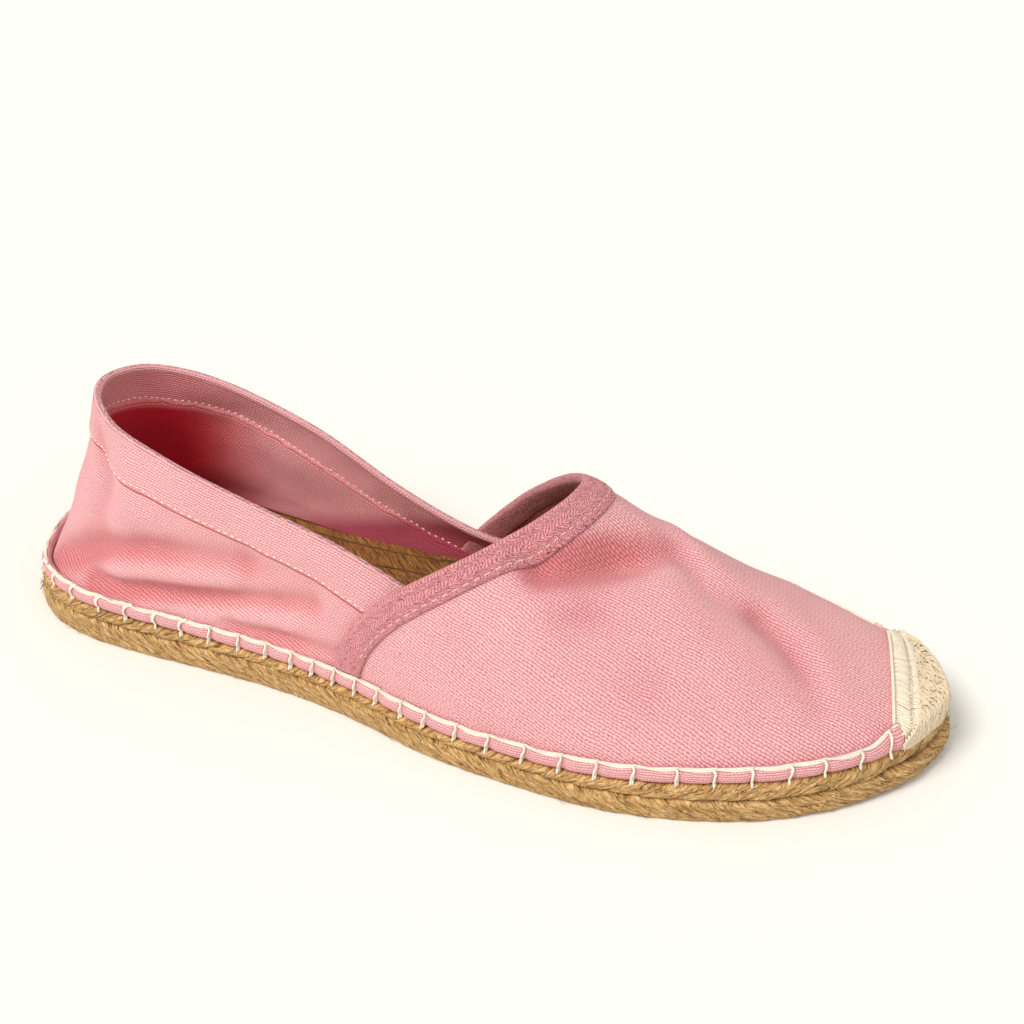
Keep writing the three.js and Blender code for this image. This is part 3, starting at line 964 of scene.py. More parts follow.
@dataclass(frozen=True)
class CanvasFinish(Finish):
    """Woven cotton: short bumps of yarn laid like bricks, with painted shade down in the folds and along the
    hem's edge.
    """

    yarn: Colour = (0.93, 0.52, 0.525)
    gap: Colour = (0.60, 0.14, 0.17)
    length: float = 1.15
    width: float = 0.84
    depth: float = 0.3
    # the colour that painted shade darkens the folds by
    folded: Colour = (0.80, 0.52, 0.54)
    hem: float = 0.0
    # how dark the painted shade line along the hem's edge is
    hem_mark: float = 0.8

    def weave(self, g: Graph, along: Socket, across: Socket) -> Socket:
        """Lays the bumps of yarn in rows, each row a part of a bump on from the last.

        Args:
            g: The material's nodes.
            along: The distance along the rows.
            across: The distance across them.

        Returns:
            How high the yarn stands, 0 to 1.
        """
        where = g.vector(along, across)
        sway = g.drift(where, 0.22, 1.4 * self.width)
        wobble = g.drift(where, 1.0, 0.6 * self.width)
        slip = g.drift(where, 0.8, 0.9, 2, 0.6)
        rows = g.math(Sum.DIVIDE, g.add(across, g.add(sway, wobble)), self.width)
        row = g.math(Sum.FLOOR, rows)
        thick = g.math(Sum.SINE, g.times(g.math(Sum.FRACT, rows), math.pi))
        uneven = g.times(g.math(Sum.SINE, g.times(row, 2.4)), 0.16)
        brick = g.add(g.times(row, 0.5), uneven)
        steps = g.add(g.math(Sum.DIVIDE, along, self.length), brick)
        long = g.wave(g.add(steps, slip))
        bump = g.add(g.times(g.math(Sum.POWER, long, 0.7), 0.7), 0.3)
        return g.times(g.math(Sum.POWER, thick, 0.7), bump)

    def tint(self, g: Graph, body: Socket, across: Socket) -> Socket:
        """Paints shade on the cloth from place to place. Plain canvas is left as it is."""
        return body

    def build(self) -> bpy.types.Material:
        """Makes the material."""
        g = Graph(self.name)
        along, across, relief = g.flow()
        where = g.vector(along, across)
        weave = self.weave(g, along, across)
        lint = g.noise(where, 2.2, 3, 0.6)
        shade = g.add(weave, g.times(g.math(Sum.SUBTRACT, lint, 0.5), 0.5))
        body = g.blend(g.span(shade, 0.10, 0.66), self.gap, self.yarn)
        cloud = g.ramp(g.noise(where, 0.05), [(0.3, (0.97, 0.95, 0.955)), (0.7, (1.0, 1.0, 1.0))])
        body = g.blend(1.0, body, cloud, "MULTIPLY")
        # Painted shade: where the relief is low, down in the folds, the cloth is darkened by the folded
        # colour.
        body = g.dye(body, g.span(relief, 0.25, 1.0, (1.0, 0.0)), self.folded)
        body = self.tint(g, body, across)
        # Painted shade: a dark line where the turned hem ends, under its step.
        if self.hem:
            edge = g.math(Sum.ABSOLUTE, g.add(across, self.hem + 0.25))
            body = g.dye(body, g.span(edge, 0.15, 0.6, (self.hem_mark, 0.0)), self.gap)
        height = g.add(weave, g.times(lint, 0.25))
        g.finish(body, g.bump(height, 0.8, self.depth), 0.92, 0.12, 0.1)
        return g.made


@dataclass(frozen=True)
class LiningFinish(CanvasFinish):
    """The canvas's inner face, with painted shade in dark red down in the heel and along the footbed.

    The heel's shade runs along the shoe, and the footbed's shade is a band that climbs towards the toe.
    Both are in metres, as the object's own coordinates are.
    """

    # painted shade down in the heel, and where along the shoe it fades out
    deep: Colour = (0.62, 0.008, 0.03)
    deep_from: float = -0.064
    deep_to: float = -0.098
    at_hem: float = 0.28
    # painted shade low down, along the footbed, and the band that it climbs in
    low: Colour = (0.44, 0.035, 0.09)
    low_start: float = -0.062
    low_climb: float = 0.25
    low_band: tuple[float, float] = (0.007, 0.0145)

    def tint(self, g: Graph, body: Socket, across: Socket) -> Socket:
        """Paints dark red shade on the lining in the heel and low down."""
        x, _, z = g.split(g.place())
        inward = g.span(x, self.deep_to, self.deep_from, (1.0, 0.0))
        below = g.span(across, -self.hem - 2.5, -self.hem + 0.5, (1.0, self.at_hem))
        # Painted shade: dark red in the heel, less of it in the hem band.
        body = g.blend(g.times(inward, below), body, self.deep)
        climb = g.math(Sum.SUBTRACT, z, g.times(g.add(x, -self.low_start), self.low_climb))
        return g.blend(g.span(climb, *self.low_band, (0.85, 0.0)), body, self.low)


@dataclass(frozen=True)
class TwillFinish(Finish):
    """Herringbone tape: short ribs that slant one way and then the other, broken and with pale flecks."""

    yarn: Colour = (0.85, 0.335, 0.355)
    gap: Colour = (0.33, 0.045, 0.07)
    worn: Colour = (1.0, 0.66, 0.67)
    pitch: float = 0.92
    band: float = 1.7
    slope: float = 1.35

    def build(self) -> bpy.types.Material:
        """Makes the material."""
        g = Graph(self.name)
        along, across, _ = g.flow()
        where = g.vector(along, across)
        sway = g.drift(where, 0.9, 3.0, 3, 0.6)
        swerve = g.drift(where, 0.45, 1.4)
        slant = g.math(Sum.PINGPONG, g.add(across, swerve), self.band)
        rib = g.add(g.add(along, g.times(slant, self.slope)), sway)
        ribs = g.wave(g.math(Sum.DIVIDE, rib, self.pitch))
        streak = g.noise(g.stretched(along, across, (0.5, 1.9)), 1.0, 3, 0.6)
        lint = g.noise(where, 2.6, 3, 0.6)
        weave = g.add(g.times(ribs, 0.5), g.times(streak, 0.55))
        body = g.blend(g.span(weave, 0.26, 0.62), self.gap, self.yarn)
        body = g.blend(g.span(lint, 0.55, 0.75, (0.0, 0.6)), body, self.worn)
        height = g.add(weave, g.times(lint, 0.35))
        g.finish(body, g.bump(height, 1.0, 0.45), 0.88, 0.2, 0.12)
        return g.made


@dataclass(frozen=True)
class JuteFinish(Finish):
    """Jute fibre in strands: fine streaks that follow each strand, with painted shade where strands meet."""

    dark: Colour = (0.15, 0.062, 0.016)
    middle: Colour = (0.52, 0.28, 0.085)
    light: Colour = (0.84, 0.55, 0.25)

    def build(self) -> bpy.types.Material:
        """Makes the material."""
        g = Graph(self.name)
        along, across, relief = g.flow()
        across = g.add(across, g.drift(g.vector(along, across), 0.45, 1.6))
        wide = g.noise(g.stretched(along, across, (0.12, 0.8)), 1.0)
        fine = g.noise(g.stretched(along, across, (0.26, 1.9)), 1.0, 3, 0.6)
        hair = g.noise(g.stretched(along, across, (0.42, 3.6)), 1.0, 2, 0.6)
        tone = g.add(g.times(wide, 0.3), g.times(fine, 0.7))
        body = g.ramp(tone, [(0.37, self.dark), (0.46, self.middle), (0.59, self.light)])
        body = g.blend(g.span(hair, 0.55, 0.63, (0.0, 0.7)), body, self.light)
        body = g.blend(g.span(hair, 0.37, 0.44, (0.75, 0.0)), body, self.dark)
        # Painted shade: low relief, between strands and rows, is darkened.
        body = g.blend(g.span(relief, 0.0, 0.5), self.dark, body)
        height = g.add(fine, g.times(hair, 0.6))
        g.finish(body, g.bump(height, 1.0, 0.8), 0.8, 0.05, 0.25)
        return g.made


@dataclass(frozen=True)
class ThreadFinish(Finish):
    """Cotton thread: plies that wind round it, with a little lint."""

    body: Colour = (0.92, 0.84, 0.68)
    shade: Colour = (0.60, 0.46, 0.28)
    lay: float = 1.6

    def build(self) -> bpy.types.Material:
        """Makes the material."""
        g = Graph(self.name)
        along, around, _ = g.flow()
        wound = g.add(g.math(Sum.DIVIDE, along, self.lay), around)
        plies = g.wave(g.times(wound, 2.0))
        lint = g.noise(g.place(), 1400.0, 3, 0.7)
        tone = g.add(g.times(plies, 0.5), g.times(lint, 0.5))
        body = g.ramp(tone, [(0.08, self.shade), (0.45, self.body)])
        g.finish(body, g.bump(tone, 0.7, 0.18), 0.8, 0.2, 0.2)
        return g.made


@dataclass(frozen=True)
class FloorFinish(Finish):
    """A plain pale floor."""

    body: Colour = (0.90, 0.89, 0.845)

    def build(self) -> bpy.types.Material:
        """Makes the material."""
        g = Graph(self.name)
        g.shader.inputs["Base Color"].default_value = (*self.body, 1)
        g.shader.inputs["Roughness"].default_value = 0.9
        g.shader.inputs["Specular IOR Level"].default_value = 0.1
        return g.made


HEM = 11.0  # how far below the collar the turned hem ends
HEEL_GAP = (0.66, 0.19, 0.22)
VAMP_CANVAS = CanvasFinish("vamp_canvas")
HEEL_CANVAS = CanvasFinish("heel_canvas", gap=HEEL_GAP, length=0.98, width=0.72, depth=0.26, hem=HEM)
# The lining's yarn is the canvas's pink, painted brighter and redder than the outer yarn as painted light for
# the shadowed inside; it has no fold shade.
LINING = LiningFinish(
    "heel_lining",
    yarn=(1.0, 0.49, 0.495),
    gap=HEEL_GAP,
    length=0.98,
    width=0.72,
    depth=0.22,
    folded=(1.0, 1.0, 1.0),
    hem=HEM,
    hem_mark=0.3,
)
FOLD_CANVAS = CanvasFinish("fold_canvas", gap=HEEL_GAP, length=0.98, width=0.72, depth=0.26)
ROLL_CANVAS = CanvasFinish("roll_canvas", gap=(0.64, 0.16, 0.20), length=0.85, width=0.66, depth=0.3)
TWILL = TwillFinish("herringbone_tape")
JUTE = JuteFinish("jute_braid")
# The footbed's jute is darker than the side's.
FOOTBED_JUTE = JuteFinish("jute_footbed", (0.09, 0.03, 0.006), (0.27, 0.105, 0.022), (0.46, 0.22, 0.055))
THREAD = ThreadFinish("blanket_thread", (0.95, 0.88, 0.74), (0.74, 0.60, 0.42))
CAP_THREAD = ThreadFinish("cap_thread", (0.97, 0.86, 0.69), (0.66, 0.50, 0.33))
LOOP_THREAD = ThreadFinish("looped_thread", (0.86, 0.71, 0.51), (0.48, 0.32, 0.17))
HEM_THREAD = ThreadFinish("hem_thread", (0.97, 0.82, 0.64), (0.80, 0.50, 0.40))
TAPE_THREAD = ThreadFinish("tape_thread", (0.94, 0.58, 0.54), (0.66, 0.26, 0.26))
FLOOR = FloorFinish("pale_floor")


# ------------------------------------------------------------------------------- the sole
class Braid(Enum):
    """The two rows of strands on the side of the sole."""

    LOWER = "lower"
    UPPER = "upper"


@dataclass(frozen=True)
class RowShape:
    """How the strands of one row lie.

    lean is how far a strand moves along for each millimetre up, waist is how full it is where it meets
    the next, dent is how deep the gaps are, and blunt is how square the row's lower half is, 0 for a
    box. proud is how far it stands out of the outline, and tucked how far it goes in under the toe cap.
    """

    lean: float
    waist: float
    dent: float
    blunt: float
    proud: float
    tucked: float
    seed: float


ROW_SHAPES = {
    Braid.LOWER: RowShape(lean=1.8, waist=0.5, dent=0.6, blunt=0.42, proud=0.5, tucked=0.0, seed=7.5),
    Braid.UPPER: RowShape(lean=-1.7, waist=0.15, dent=0.8, blunt=0.62, proud=0.0, tucked=1.1, seed=2.5),
}


class Tuft(NamedTuple):
    """A frayed end of the braid: where it is, how many fibres it has and how far they reach."""

    along: float
    z: float
    count: int
    reach: float


@dataclass
class JuteSole:
    """The coiled jute braid: two rows of strands on its side, and the coil above and below."""

    last: Last
    pitch: float = 8.8
    depth: float = 3.2
    crown_blunt: float = 0.62
    under_cap: tuple[float, float] = (110.0, 116.0)
    around: int = 32
    step: float = 0.45
    floor_gap: float = 0.03
    hair_floor: float = 0.1
    footbed: float = 9.4
    dish: float = 1.0
    ring: float = 7.2
    face_inset: float = 2.4
    hairs: int = 700
    tufts: tuple[Tuft, ...] = (Tuft(3.0, 8.6, 40, 3.2), Tuft(24.0, 5.5, 26, 2.4))
    seed: int = 11

    def rope_spot(self, row: Braid, along: float, turn: float) -> Spot:
        """Gives a point on one row of strands.

        Args:
            row: Which row.
            along: The distance from the heel round the outline.
            turn: The angle round the rope, 0 facing out, rising upwards.

        Returns:
            The vertex there.
        """
        shape = ROW_SHAPES[row]
        edge = self.last.at(along, 0)
        low, top = self.last.underside(edge.x, edge.y), self.last.edge_height(edge.x)
        middle = lerp(low, top, self.last.groove(edge.x))
        bottom, crest = (middle, top) if row is Braid.UPPER else (low, middle)
        half = (crest - bottom) / 2
        cosine, sine = math.cos(turn), math.sin(turn)
        blunt = shape.blunt if sine < 0 else self.crown_blunt
        wide = math.copysign(abs(cosine) ** blunt, cosine)
        rise = half * math.copysign(abs(sine) ** blunt, sine)
        wander = noise.noise(Vector((along * 0.11, rise * 0.2, 4.0))) * 1.2
        phase = (along + shape.lean * rise + wander) / self.pitch
        strand = math.floor(phase)
        swell = lerp(shape.waist, 1.0, math.sin(math.pi * (phase - strand) ** 0.72) ** 0.5)
        fibres = noise.noise(Vector((phase * self.pitch * 1.3, rise * 0.22, 9.0 + strand)))
        size = noise.cell(Vector((strand + 0.5, shape.seed, 0.5)))
        relief = swell * (0.85 + 0.15 * size) + 0.28 * fibres
        sunk = (1 - relief) * shape.dent
        pressed = shape.tucked * smoothstep(edge.x, *self.under_cap) - shape.proud
        inset = self.depth * (1 - wide) + sunk * max(wide, 0.2) + pressed
        point = self.last.at(along, inset, (bottom + crest) / 2 + rise * 1.03 * (1 - 0.04 * sunk))
        point.z = max(point.z, self.floor_gap)
        away = abs(rise) / half
        # The relief drops between strands and towards the row's top and bottom, where the finish paints
        # shade.
        return Spot(point, (rise * 2.0, phase * self.pitch * 0.62, clamp(relief * (1.2 - 0.9 * away**8))))

    def rope(self, row: Braid) -> None:
        """Makes one row of strands."""
        cloth = Cloth(self.last)
        count = int(self.last.perimeter / self.step)

        def spot(column: int, index: int) -> Spot:
            """Places one vertex of the row."""
            turn = 2 * math.pi * column / self.around + math.pi
            return self.rope_spot(row, self.last.perimeter * (index % count) / count, turn)

        cloth.grid(self.around, count, spot)
        cloth.close().piece(f"braid_{row.value}_row", JUTE, "jute", "jute_sole")

    def coil_spot(self, x: float, share: float, upward: bool) -> Spot:
        """Gives a point on the coil's flat face, above or below.

        Args:
            x: The station along the foot.
            share: 0 at the outer side, 1 at the inner side.
            upward: True for the footbed, False for the underside.

        Returns:
            The vertex there.
        """
        lateral, medial = self.last.widths(self.face_inset)(x)
        y = lerp(-lateral, medial, share)
        along, inset = self.last.nearest(x, y)
        ring = math.floor(inset / self.ring)
        part = inset / self.ring - ring
        lean = (part - 0.5) * self.ring * (0.9 if ring % 2 else 1.1)
        wander = noise.noise(Vector((x * 0.09, y * 0.09, 3.0))) * 1.8
        phase = (along + lean + wander) / (self.pitch * 0.85)
        lump = math.sin(math.pi * (phase - math.floor(phase)) ** 0.75) ** 0.6
        crown = (1 - abs(2 * part - 1) ** 2.6) ** 0.5
        relief = crown * ((0.8 + 0.2 * lump) if upward else (0.62 + 0.38 * lump))
        ends = smoothstep(inset, 2.0, 4.0)
        if upward:
            hollow = self.dish * (1 - (2 * x / self.last.length) ** 4) * math.sin(math.pi * share) ** 2
            z = self.footbed - hollow - 0.9 * (1 - relief) * ends + 0.3
        else:
            z = self.last.underside(x, y) + 1.2 * (1 - relief) + 0.6 * (1 - ends)
        # The relief drops between the coil's rings, where the finish paints shade.
        return Spot(Vector((x, y, z)), (lean, phase * self.pitch * 0.85, relief))

    def coil(self, upward: bool) -> None:
        """Makes the footbed or the underside."""
        cloth = Cloth(self.last)
        columns, rows = 104, 330
        widths = self.last.widths(self.face_inset)
        start, end = widths.start + 0.01, widths.tip.x - 0.01

        def spot(column: int, row: int) -> Spot:
            """Places one vertex of the face."""
            t = row / rows
            x = lerp(start, end, t - math.sin(2 * math.pi * t) * 0.06)
            return self.coil_spot(x, column / columns, upward)

        cloth.grid(columns, rows, spot)
        bmesh.ops.recalc_face_normals(cloth.bm, faces=cloth.bm.faces)
        facing = sum(f.normal.z * f.calc_area() for f in cloth.bm.faces) > 0
        if facing is not upward:
            bmesh.ops.reverse_faces(cloth.bm, faces=cloth.bm.faces)
        name = "footbed_coil" if upward else "underside_coil"
        cloth.piece(name, FOOTBED_JUTE if upward else JUTE, "jute")

    def fuzz(self) -> None:
        """Makes the loose fibres that stand off the strands."""
        cloth = Cloth(self.last)
        dice = random.Random(self.seed)
        for _ in range(self.hairs):
            row = dice.choice(list(Braid))
            along, turn = dice.uniform(0, self.last.perimeter), dice.gauss(0, 0.65)
            root = self.rope_spot(row, along, clamp(turn, -1.4, 1.4)).point
            out = self.last.outward(along)
            ahead = Vector((-out.y, out.x, 0))
            lean = ahead * dice.choice((-1, 1)) + Vector((0, 0, dice.gauss(0, 0.5)))
            length = dice.uniform(1.0, 3.6)
            lift = dice.uniform(0.15, 0.7) * dice.random()
            bend = dice.gauss(0, 0.8)
            path = []
            for i in range(6):
                t = i / 5
                away = out * (lift * length * math.sin(math.pi * t * 0.8) - 0.15)
                path.append(root + lean.normalized() * length * t + away + Vector((0, 0, bend * t * t)))
            if min(p.z for p in path) > self.hair_floor:
                cloth.tube(path, lambda t: 0.06 * (1 - 0.6 * t), 3)
        cloth.close().piece("jute_fuzz", JUTE, "jute")

    def tuft(self) -> None:
        """Makes the frayed ends of the braid at the heel."""
        cloth = Cloth(self.last)
        dice = random.Random(self.seed + 1)
        for along, z, count, reach in self.tufts:
            out = self.last.outward(along)
            ahead = Vector((-out.y, out.x, 0))
            for _ in range(count):
                root = self.last.at(along + dice.gauss(0, 1.2), 0.8, z + dice.gauss(0, 0.9))
                way = out * dice.uniform(0.4, 1.0) + ahead * dice.uniform(-0.6, 0.6)
                way += Vector((0, 0, dice.uniform(-0.9, 0.3)))
                length = reach * dice.uniform(0.5, 1.1)
                droop = dice.uniform(0.0, 1.4)
                path = [root + way * length * t / 5 - Vector((0, 0, droop * (t / 5) ** 2)) for t in range(6)]
                cloth.tube(path, lambda t: 0.11 * (1 - 0.5 * t), 3)
        cloth.close().piece("jute_tuft", JUTE, "jute")

    def build(self) -> None:
        """Makes all of the sole."""
        for row in Braid:
            self.rope(row)
        self.coil(True)
        self.coil(False)
        self.fuzz()
        self.tuft()


# ------------------------------------------------------------------------------- the upper
class Drape:
    """How far the canvas is pressed in at a point: its folds and small ripples."""

    FADE = 0.5  # how much shallower a fold is at the end of its path
    FADE_FROM = 0.55  # the share of the path at which it starts to be
    SHADE_DEPTH = 5.0  # the depth at which the finish reads a fold as fully in shade

    def __init__(self, folds: Sequence[Fold], ripple: float, seed: float) -> None:
        """Keeps the folds.

        Args:
            folds: The folds.
            ripple: The height of the small ripples.
            seed: Sets the ripples' places.
        """
        self.folds = [(f, [(Vector(a), Vector(b)) for a, b in zip(f.path, f.path[1:])]) for f in folds]
        self.ripple, self.seed = ripple, seed

    def __call__(self, point: Vector) -> float:
        """Gives the depth at a point, positive inwards."""
        total = 0.0
        for fold, spans in self.folds:
            nearest, way = math.inf, 0.0
            for i, (a, b) in enumerate(spans):
                step = b - a
                t = clamp((point - a).dot(step) / step.length_squared)
                gap = (point - a - step * t).length_squared
                if gap < nearest:
                    nearest, way = gap, (i + t) / len(spans)
            fade = 1 - self.FADE * smoothstep(way, self.FADE_FROM, 1.0)
            total += fold.depth * fade * math.exp(-nearest / fold.width**2)
        cloud = noise.noise(point * 0.055 + Vector((self.seed, 0, 0)))
        small = noise.noise(point * 0.15 + Vector((0, self.seed, 0)))
        return total + self.ripple * (cloud + 0.35 * small)


@dataclass
class Upper:
    """The canvas: the vamp, the heel piece with its turned hem, and the rolled edge at their foot."""

    last: Last
    vamp: VampForm
    heel: HeelForm
    roll_end: float
    hem: float = HEM
    hem_step: float = 0.6
    hem_rows: float = 13.0
    fold_drop: float = 0.6
    roll_height: float = 4.1
    roll_out: float = 1.95
    roll_in: float = 0.8
    roll_grow: float = 11.0
    roll_swell: float = 0.45
    roll_pinch: float = 1.2

    def __post_init__(self) -> None:
        """Sets how each panel is pressed in."""
        self.vamp_drape = Drape(VAMP_FOLDS, 0.5, 3.0)
        self.heel_drape = Drape(HEEL_FOLDS, 0.6, 8.0)

    def vamp_point(self, x: float, angle: float, depth: float = 0.0) -> Vector:
        """Gives a point of the draped vamp."""
        point = self.vamp.point(x, angle, depth)
        out = Vector((0, -math.cos(angle), math.sin(angle) + 0.15)).normalized()
        foot = smoothstep(point.z - self.last.edge_height(x), 2.0, 9.0)
        toe = 1 - smoothstep(x, 96, 108)
        return point - out * self.vamp_drape(point) * foot * toe

    def band_point(self, angle: float, forward: float, depth: float = 0.0) -> Vector:
        """Gives a point of the draped vamp a set way forward of its rear edge."""
        return self.vamp_point(self.vamp.station(angle, forward), angle, depth)

    def panel(self, cloth: Cloth, grid: list[list[Vector]], drops: list[list[float]], drape: Drape) -> None:
        """Adds a panel, with its weave measured from the middle column.

        Args:
            cloth: The mesh to add to.
            grid: Its points row by row.
            drops: How far below the collar each point is. Empty for the vamp.
            drape: What presses the panel in, which the finish reads as relief and paints as shade.
        """
        middle = len(grid[0]) // 2
        flows = []
        for points in grid:
            line = Line(points)
            flows.append([d - line.distances[middle] for d in line.distances])

        def spot(column: int, row: int) -> Spot:
            """Places one vertex of the panel."""
            point = grid[row][column]
            if drops:
                along, across = flows[row][column], -drops[row][column]
            else:
                along, across = point.x * 1.06, flows[row][column]
            return Spot(point, (along, across, clamp(1 - drape(point) / drape.SHADE_DEPTH)))

        cloth.grid(len(grid[0]) - 1, len(grid) - 1, spot)

    def wall(self, made: bpy.types.Object, thickness: float) -> None:
        """Gives a panel its thickness, inwards, and its lining."""
        made.data.materials.append(LINING.material())
        solid = made.modifiers.new("wall", "SOLIDIFY")
        solid.material_offset = 1
        solid.thickness = thickness * MM
        solid.offset = -1
        solid.use_even_offset = True

    @staticmethod
    def face_out(cloth: Cloth, centre: Vector) -> None:
        """Turns an open panel's faces away from a point inside the shoe."""
        bmesh.ops.recalc_face_normals(cloth.bm, faces=cloth.bm.faces)
        turned = sum(f.normal.dot(f.calc_center_median() - centre) * f.calc_area() for f in cloth.bm.faces)
        if turned < 0:
            bmesh.ops.reverse_faces(cloth.bm, faces=cloth.bm.faces)

    def build_vamp(self) -> None:
        """Makes the vamp, from under its tape to under the toe cap."""
        cloth = Cloth(self.last)
        columns, rows = 168, 120
        end = self.last.widths(self.last.seam_inset).tip.x - 1.2
        angles = []
        for i in range(columns + 1):
            t = i / columns
            angles.append(math.pi * (t - 0.045 * math.sin(2 * math.pi * t)))
        grid = []
        for row in range(rows + 1):
            share = math.sin(math.pi / 2 * row / rows)
            points = []
            for angle in angles:
                start = self.vamp.throat_x(angle) + 0.6
                points.append(self.vamp_point(lerp(start, end, share), angle))
            grid.append(points)
        self.panel(cloth, grid, [], self.vamp_drape)
        self.face_out(cloth, self.last.place(Vector((50, 0, 12))))
        self.wall(cloth.piece("vamp", VAMP_CANVAS, "canvas", "upper"), self.last.canvas)

    def heel_point(self, share: float, rise: float, depth: float = 0.0) -> Vector:
        """Gives a point of the draped heel piece."""
        point, out = self.heel.point(share, rise)
        foot = smoothstep(rise, 0.04, 0.2)
        lip = 1 - 0.6 * smoothstep(rise, 0.8, 1.0)
        front = smoothstep(-point.x, -4, 14)
        return point - out * (self.heel_drape(point) * foot * lip * front + depth)

    def wall_height(self, share: float) -> float:
        """Gives the length of the heel piece from its foot to the collar."""
        return (self.heel.point(share, 1)[0] - self.heel.point(share, 0)[0]).length

    def build_heel(self) -> None:
        """Makes the heel piece: one ply, doubled by the hem below the collar."""
        cloth = Cloth(self.last)
        columns, lower, upper = 300, 38, 26

        def lip(from_top: float) -> float:
            """Gives how far the hem stands out at a distance below the collar."""
            return self.hem_step * (1 - smoothstep(from_top, self.hem - 0.7, self.hem + 0.3))

        grid, drops = [], []
        for j in range(lower + upper + 1):
            points, row = [], []
            for i in range(columns + 1):
                share = i / columns
                height = self.wall_height(share)
                near = self.hem_rows * min(1, height / (self.hem_rows + 2))
                if j < lower:
                    from_top = lerp(height, near, j / lower)
                else:
                    from_top = near * (lower + upper - j) / upper
                points.append(self.heel_point(share, 1 - from_top / height, -lip(from_top)))
                row.append(from_top)
            grid.append(points)
            drops.append(row)
        self.panel(cloth, grid, drops, self.heel_drape)
        self.face_out(cloth, self.last.place(Vector((-60, 0, 30))))
        made = cloth.piece("heel_piece", HEEL_CANVAS, "canvas")
        self.wall(made, self.last.canvas + self.hem_step)
        self.build_fold()

    def build_fold(self) -> None:
        """Makes the round fold of the hem along the collar."""
        cloth = Cloth(self.last)
        count = 360
        radius = (self.last.canvas + self.hem_step) / 2 + 0.08
        path = []
        for i in range(count + 1):
            share = i / count
            point = self.heel_point(share, 1, self.last.canvas / 2 - self.hem_step / 2)
            path.append(point - Vector((0, 0, self.fold_drop)))
        cloth.tube(path, lambda t: radius, 14, 2 * math.pi * radius)
        cloth.close().piece("collar_fold", FOLD_CANVAS, "canvas")

    def roll_spot(self, along: float, turn: float, pinch: float) -> Spot:
        """Gives a point of the rolled edge.

        Args:
            along: The distance from the heel, positive along the outer side.
            turn: The angle round the roll, 0 facing out.
            pinch: How much a stitch pulls it in there, 0 to 1.

        Returns:
            The vertex there.
        """
        edge = self.last.at(along, 0)
        foot = self.last.edge_height(edge.x) + self.last.gap - 0.25
        end = self.roll_growth(along)
        half = self.roll_height / 2 * (1 + self.roll_swell * end)
        swell = 1.03 - 0.32 * pinch + 0.07 * noise.noise(Vector((along * 0.35, 1.0, 0.0)))
        cosine, sine = math.cos(turn), math.sin(turn)
        wide = (self.roll_out * swell if cosine > 0 else self.roll_in) * cosine - end * (1 + sine)
        high = half * (1 + 0.05 * (1 - pinch)) * sine
        drop = 0.15 * noise.noise(Vector((along * 0.12, 5.0, 0.0)))
        point = self.last.at(along, self.last.seam_inset - wide, foot + half + high + drop)
        # The relief drops where a stitch pinches the roll, and the finish paints shade there.
        return Spot(point, (along, turn * 2.2, 1.0 - 0.3 * pinch))

    def roll_growth(self, along: float) -> float:
        """Gives how far the roll has grown towards its outer end at the toe cap, 0 to 1."""
        return smoothstep(along, self.roll_end - self.roll_grow, self.roll_end)

    def build_roll(self, ends: tuple[float, float], stitches: Sequence[float]) -> None:
        """Makes the rolled edge from one end of the toe cap, round the heel, to the other.

        Args:
            ends: The distances from the heel at which it starts and ends.
            stitches: The distances at which a stitch pulls it in.
        """
        cloth = Cloth(self.last)
        columns, step = 20, 0.5
        rows = int((ends[0] - ends[1]) / step)
        places = sorted(stitches)

        def spot(column: int, row: int) -> Spot:
            """Places one vertex of the roll."""
            along = lerp(ends[0], ends[1], row / rows)
            k = bisect.bisect(places, along)
            near = min(abs(along - p) for p in places[max(k - 1, 0) : k + 1])
            pinch = math.exp(-((near / self.roll_pinch) ** 2))
            return self.roll_spot(along, 2 * math.pi * column / columns + math.pi, pinch)

        cloth.grid(columns, rows, spot)
        cloth.close().piece("rolled_edge", ROLL_CANVAS, "canvas")


